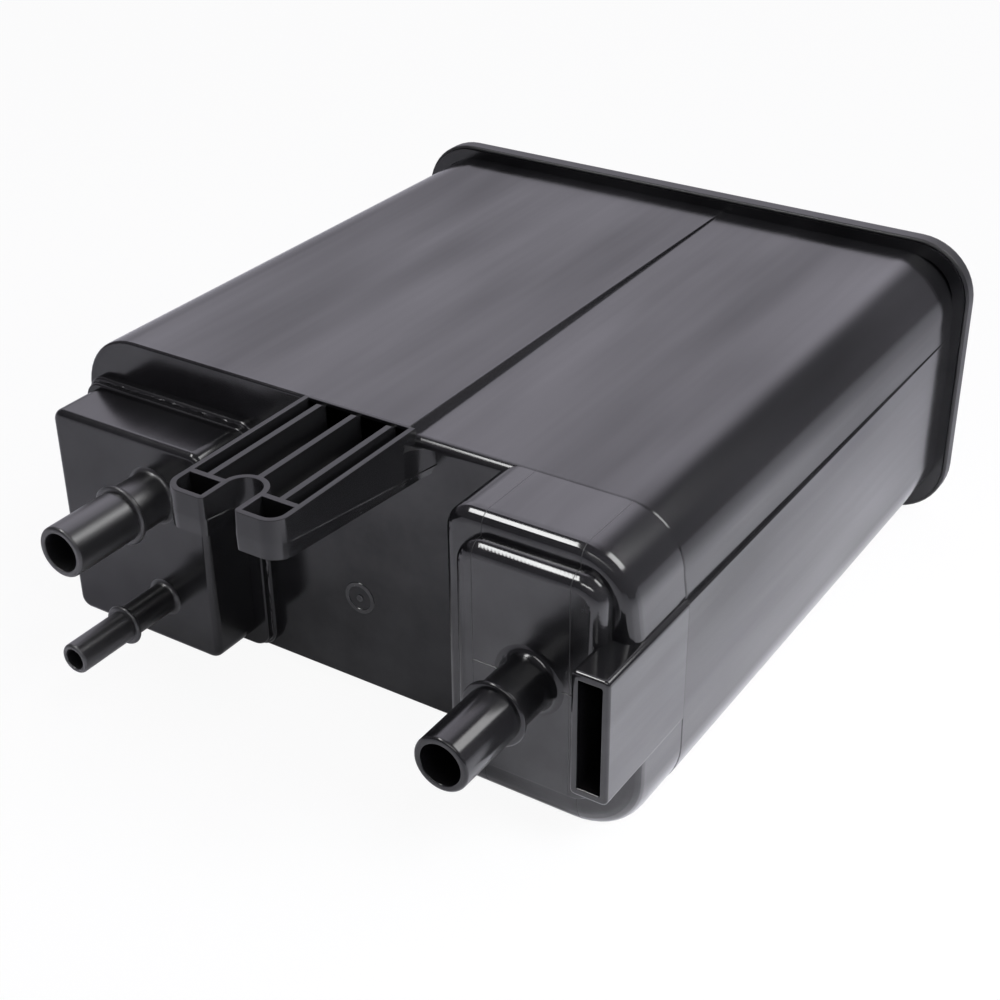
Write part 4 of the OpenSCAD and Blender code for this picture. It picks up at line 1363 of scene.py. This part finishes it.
class CANISTER_OT_stage(bpy.types.Operator):
    """Sets the floor, the light and the camera"""

    bl_idname = "canister.stage"
    bl_label = "Stage"

    def execute(self, context):
        scene = context.scene
        scene.view_settings.view_transform = "Standard"
        self.add_floor(scene.canister.finish)
        for lamp in LAMPS:
            softbox(*lamp)
        self.add_world(scene)
        self.add_camera(scene)
        return {"FINISHED"}

    def add_floor(self, finish):
        """Adds a pale floor, which the camera sees as white apart from the shadow."""
        bm = bmesh.new()
        bmesh.ops.create_grid(bm, x_segments=2, y_segments=2, size=FLOOR_HALF)
        mesh = bpy.data.meshes.new("floor")
        bm.to_mesh(mesh)
        bm.free()
        floor = bpy.data.objects.new("floor", mesh)
        bpy.context.scene.collection.objects.link(floor)
        material, tree, shader = new_material("pale floor")
        shader.inputs["Base Color"].default_value = (*finish.floor, 1)
        shader.inputs["Roughness"].default_value = FLOOR_ROUGH
        shader.inputs["Specular IOR Level"].default_value = 0.0
        ray = node(tree, "ShaderNodeLightPath").outputs
        white = node(tree, "ShaderNodeEmission", {"Color": WHITE, "Strength": 1.0})
        seen = compute(tree, "MAXIMUM", ray["Is Glossy Ray"], ray["Is Transmission Ray"])
        mirrored = compute(tree, "MULTIPLY", seen, FLOOR_MIRRORED)
        share = compute(tree, "MULTIPLY_ADD", ray["Is Camera Ray"], FLOOR_SEEN, mirrored)
        inputs = {0: share, 1: shader.outputs[0], 2: white.outputs[0]}
        mix = node(tree, "ShaderNodeMixShader", inputs)
        tree.links.new(mix.outputs[0], tree.nodes["Material Output"].inputs["Surface"])
        mesh.materials.append(material)

    def add_world(self, scene):
        """Adds the studio's light, brightest behind on the left. The camera sees it as white."""
        world = bpy.data.worlds.new("studio")
        scene.world = world
        world.use_nodes = True
        tree = world.node_tree
        tree.nodes.clear()
        ray = node(tree, "ShaderNodeLightPath").outputs
        look = node(tree, "ShaderNodeTexCoord").outputs["Generated"]
        ways = node(tree, "ShaderNodeSeparateXYZ", {0: look}).outputs
        glow, left, behind, far = [
            spread_over(tree, ways[way], *levels, "SMOOTHSTEP")
            for way, levels in zip("ZXYY", (STUDIO_GLOW, STUDIO_LEFT, STUDIO_BEHIND, STUDIO_FAR))
        ]
        lobe = compute(tree, "MULTIPLY", glow, left)
        level = compute(tree, "MULTIPLY_ADD", lobe, behind, far)
        studio = node(tree, "ShaderNodeBackground", {"Color": STUDIO_TINT, "Strength": level})
        white = node(tree, "ShaderNodeBackground", {"Color": WHITE, "Strength": 1.0})
        inputs = {0: ray["Is Camera Ray"], 1: studio.outputs[0], 2: white.outputs[0]}
        mix = node(tree, "ShaderNodeMixShader", inputs)
        node(tree, "ShaderNodeOutputWorld", {"Surface": mix.outputs[0]})

    def add_camera(self, scene):
        """Adds the camera at the photograph's angle."""
        lens = bpy.data.cameras.new("camera")
        lens.sensor_width, lens.lens = SENSOR_W, FOCAL_L
        lens.clip_start, lens.clip_end = CAMERA_CLIP
        camera = bpy.data.objects.new("camera", lens)
        scene.collection.objects.link(camera)
        turn = Matrix.Rotation(math.radians(CAMERA_TURN), 4, "Z")
        tilt = Matrix.Rotation(math.radians(90 - CAMERA_DOWN), 4, "X")
        roll = Matrix.Rotation(math.radians(CAMERA_ROLL), 4, "Z")
        camera.matrix_world = Matrix.Translation(CAMERA_PLACE) @ turn @ tilt @ roll
        scene.camera = camera


PIECES = (
    CANISTER_OT_shell,
    CANISTER_OT_chamber,
    CANISTER_OT_pocket,
    CANISTER_OT_bracket,
    CANISTER_OT_vent_nipple,
    CANISTER_OT_port_cap,
    CANISTER_OT_weld_flash,
    CANISTER_OT_rear_cover,
    CANISTER_OT_gate_mark,
    CANISTER_OT_inside,
    CANISTER_OT_stage,
)


class CANISTER_PT_panel(bpy.types.Panel):
    """Lists the canister's pieces and sizes"""

    bl_idname = "CANISTER_PT_panel"
    bl_label = "Charcoal Canister"
    bl_space_type = "VIEW_3D"
    bl_region_type = "UI"
    bl_category = "Canister"

    def draw(self, context):
        for operator in PIECES:
            self.layout.operator(operator.bl_idname)
        for group in ("shell", "cover", "chamber", "bracket", "cap", "nipple", "finish"):
            box = self.layout.box()
            box.label(text=group.capitalize())
            values = getattr(context.scene.canister, group)
            for name in values.__annotations__:
                box.prop(values, name)


GROUPS = (ShellSizes, CoverSizes, ChamberSizes, BracketSizes, CapSizes, NippleSizes, Finish)
CLASSES = (*GROUPS, CanisterSizes, *PIECES, CANISTER_PT_panel)


def register():
    for cls in CLASSES:
        bpy.utils.register_class(cls)
    bpy.types.Scene.canister = bpy.props.PointerProperty(type=CanisterSizes)


def unregister():
    del bpy.types.Scene.canister
    for cls in reversed(CLASSES):
        bpy.utils.unregister_class(cls)


def main():
    register()
    for operator in PIECES:
        group, name = operator.bl_idname.split(".")
        getattr(getattr(bpy.ops, group), name)()


if __name__ == "__main__":
    main()
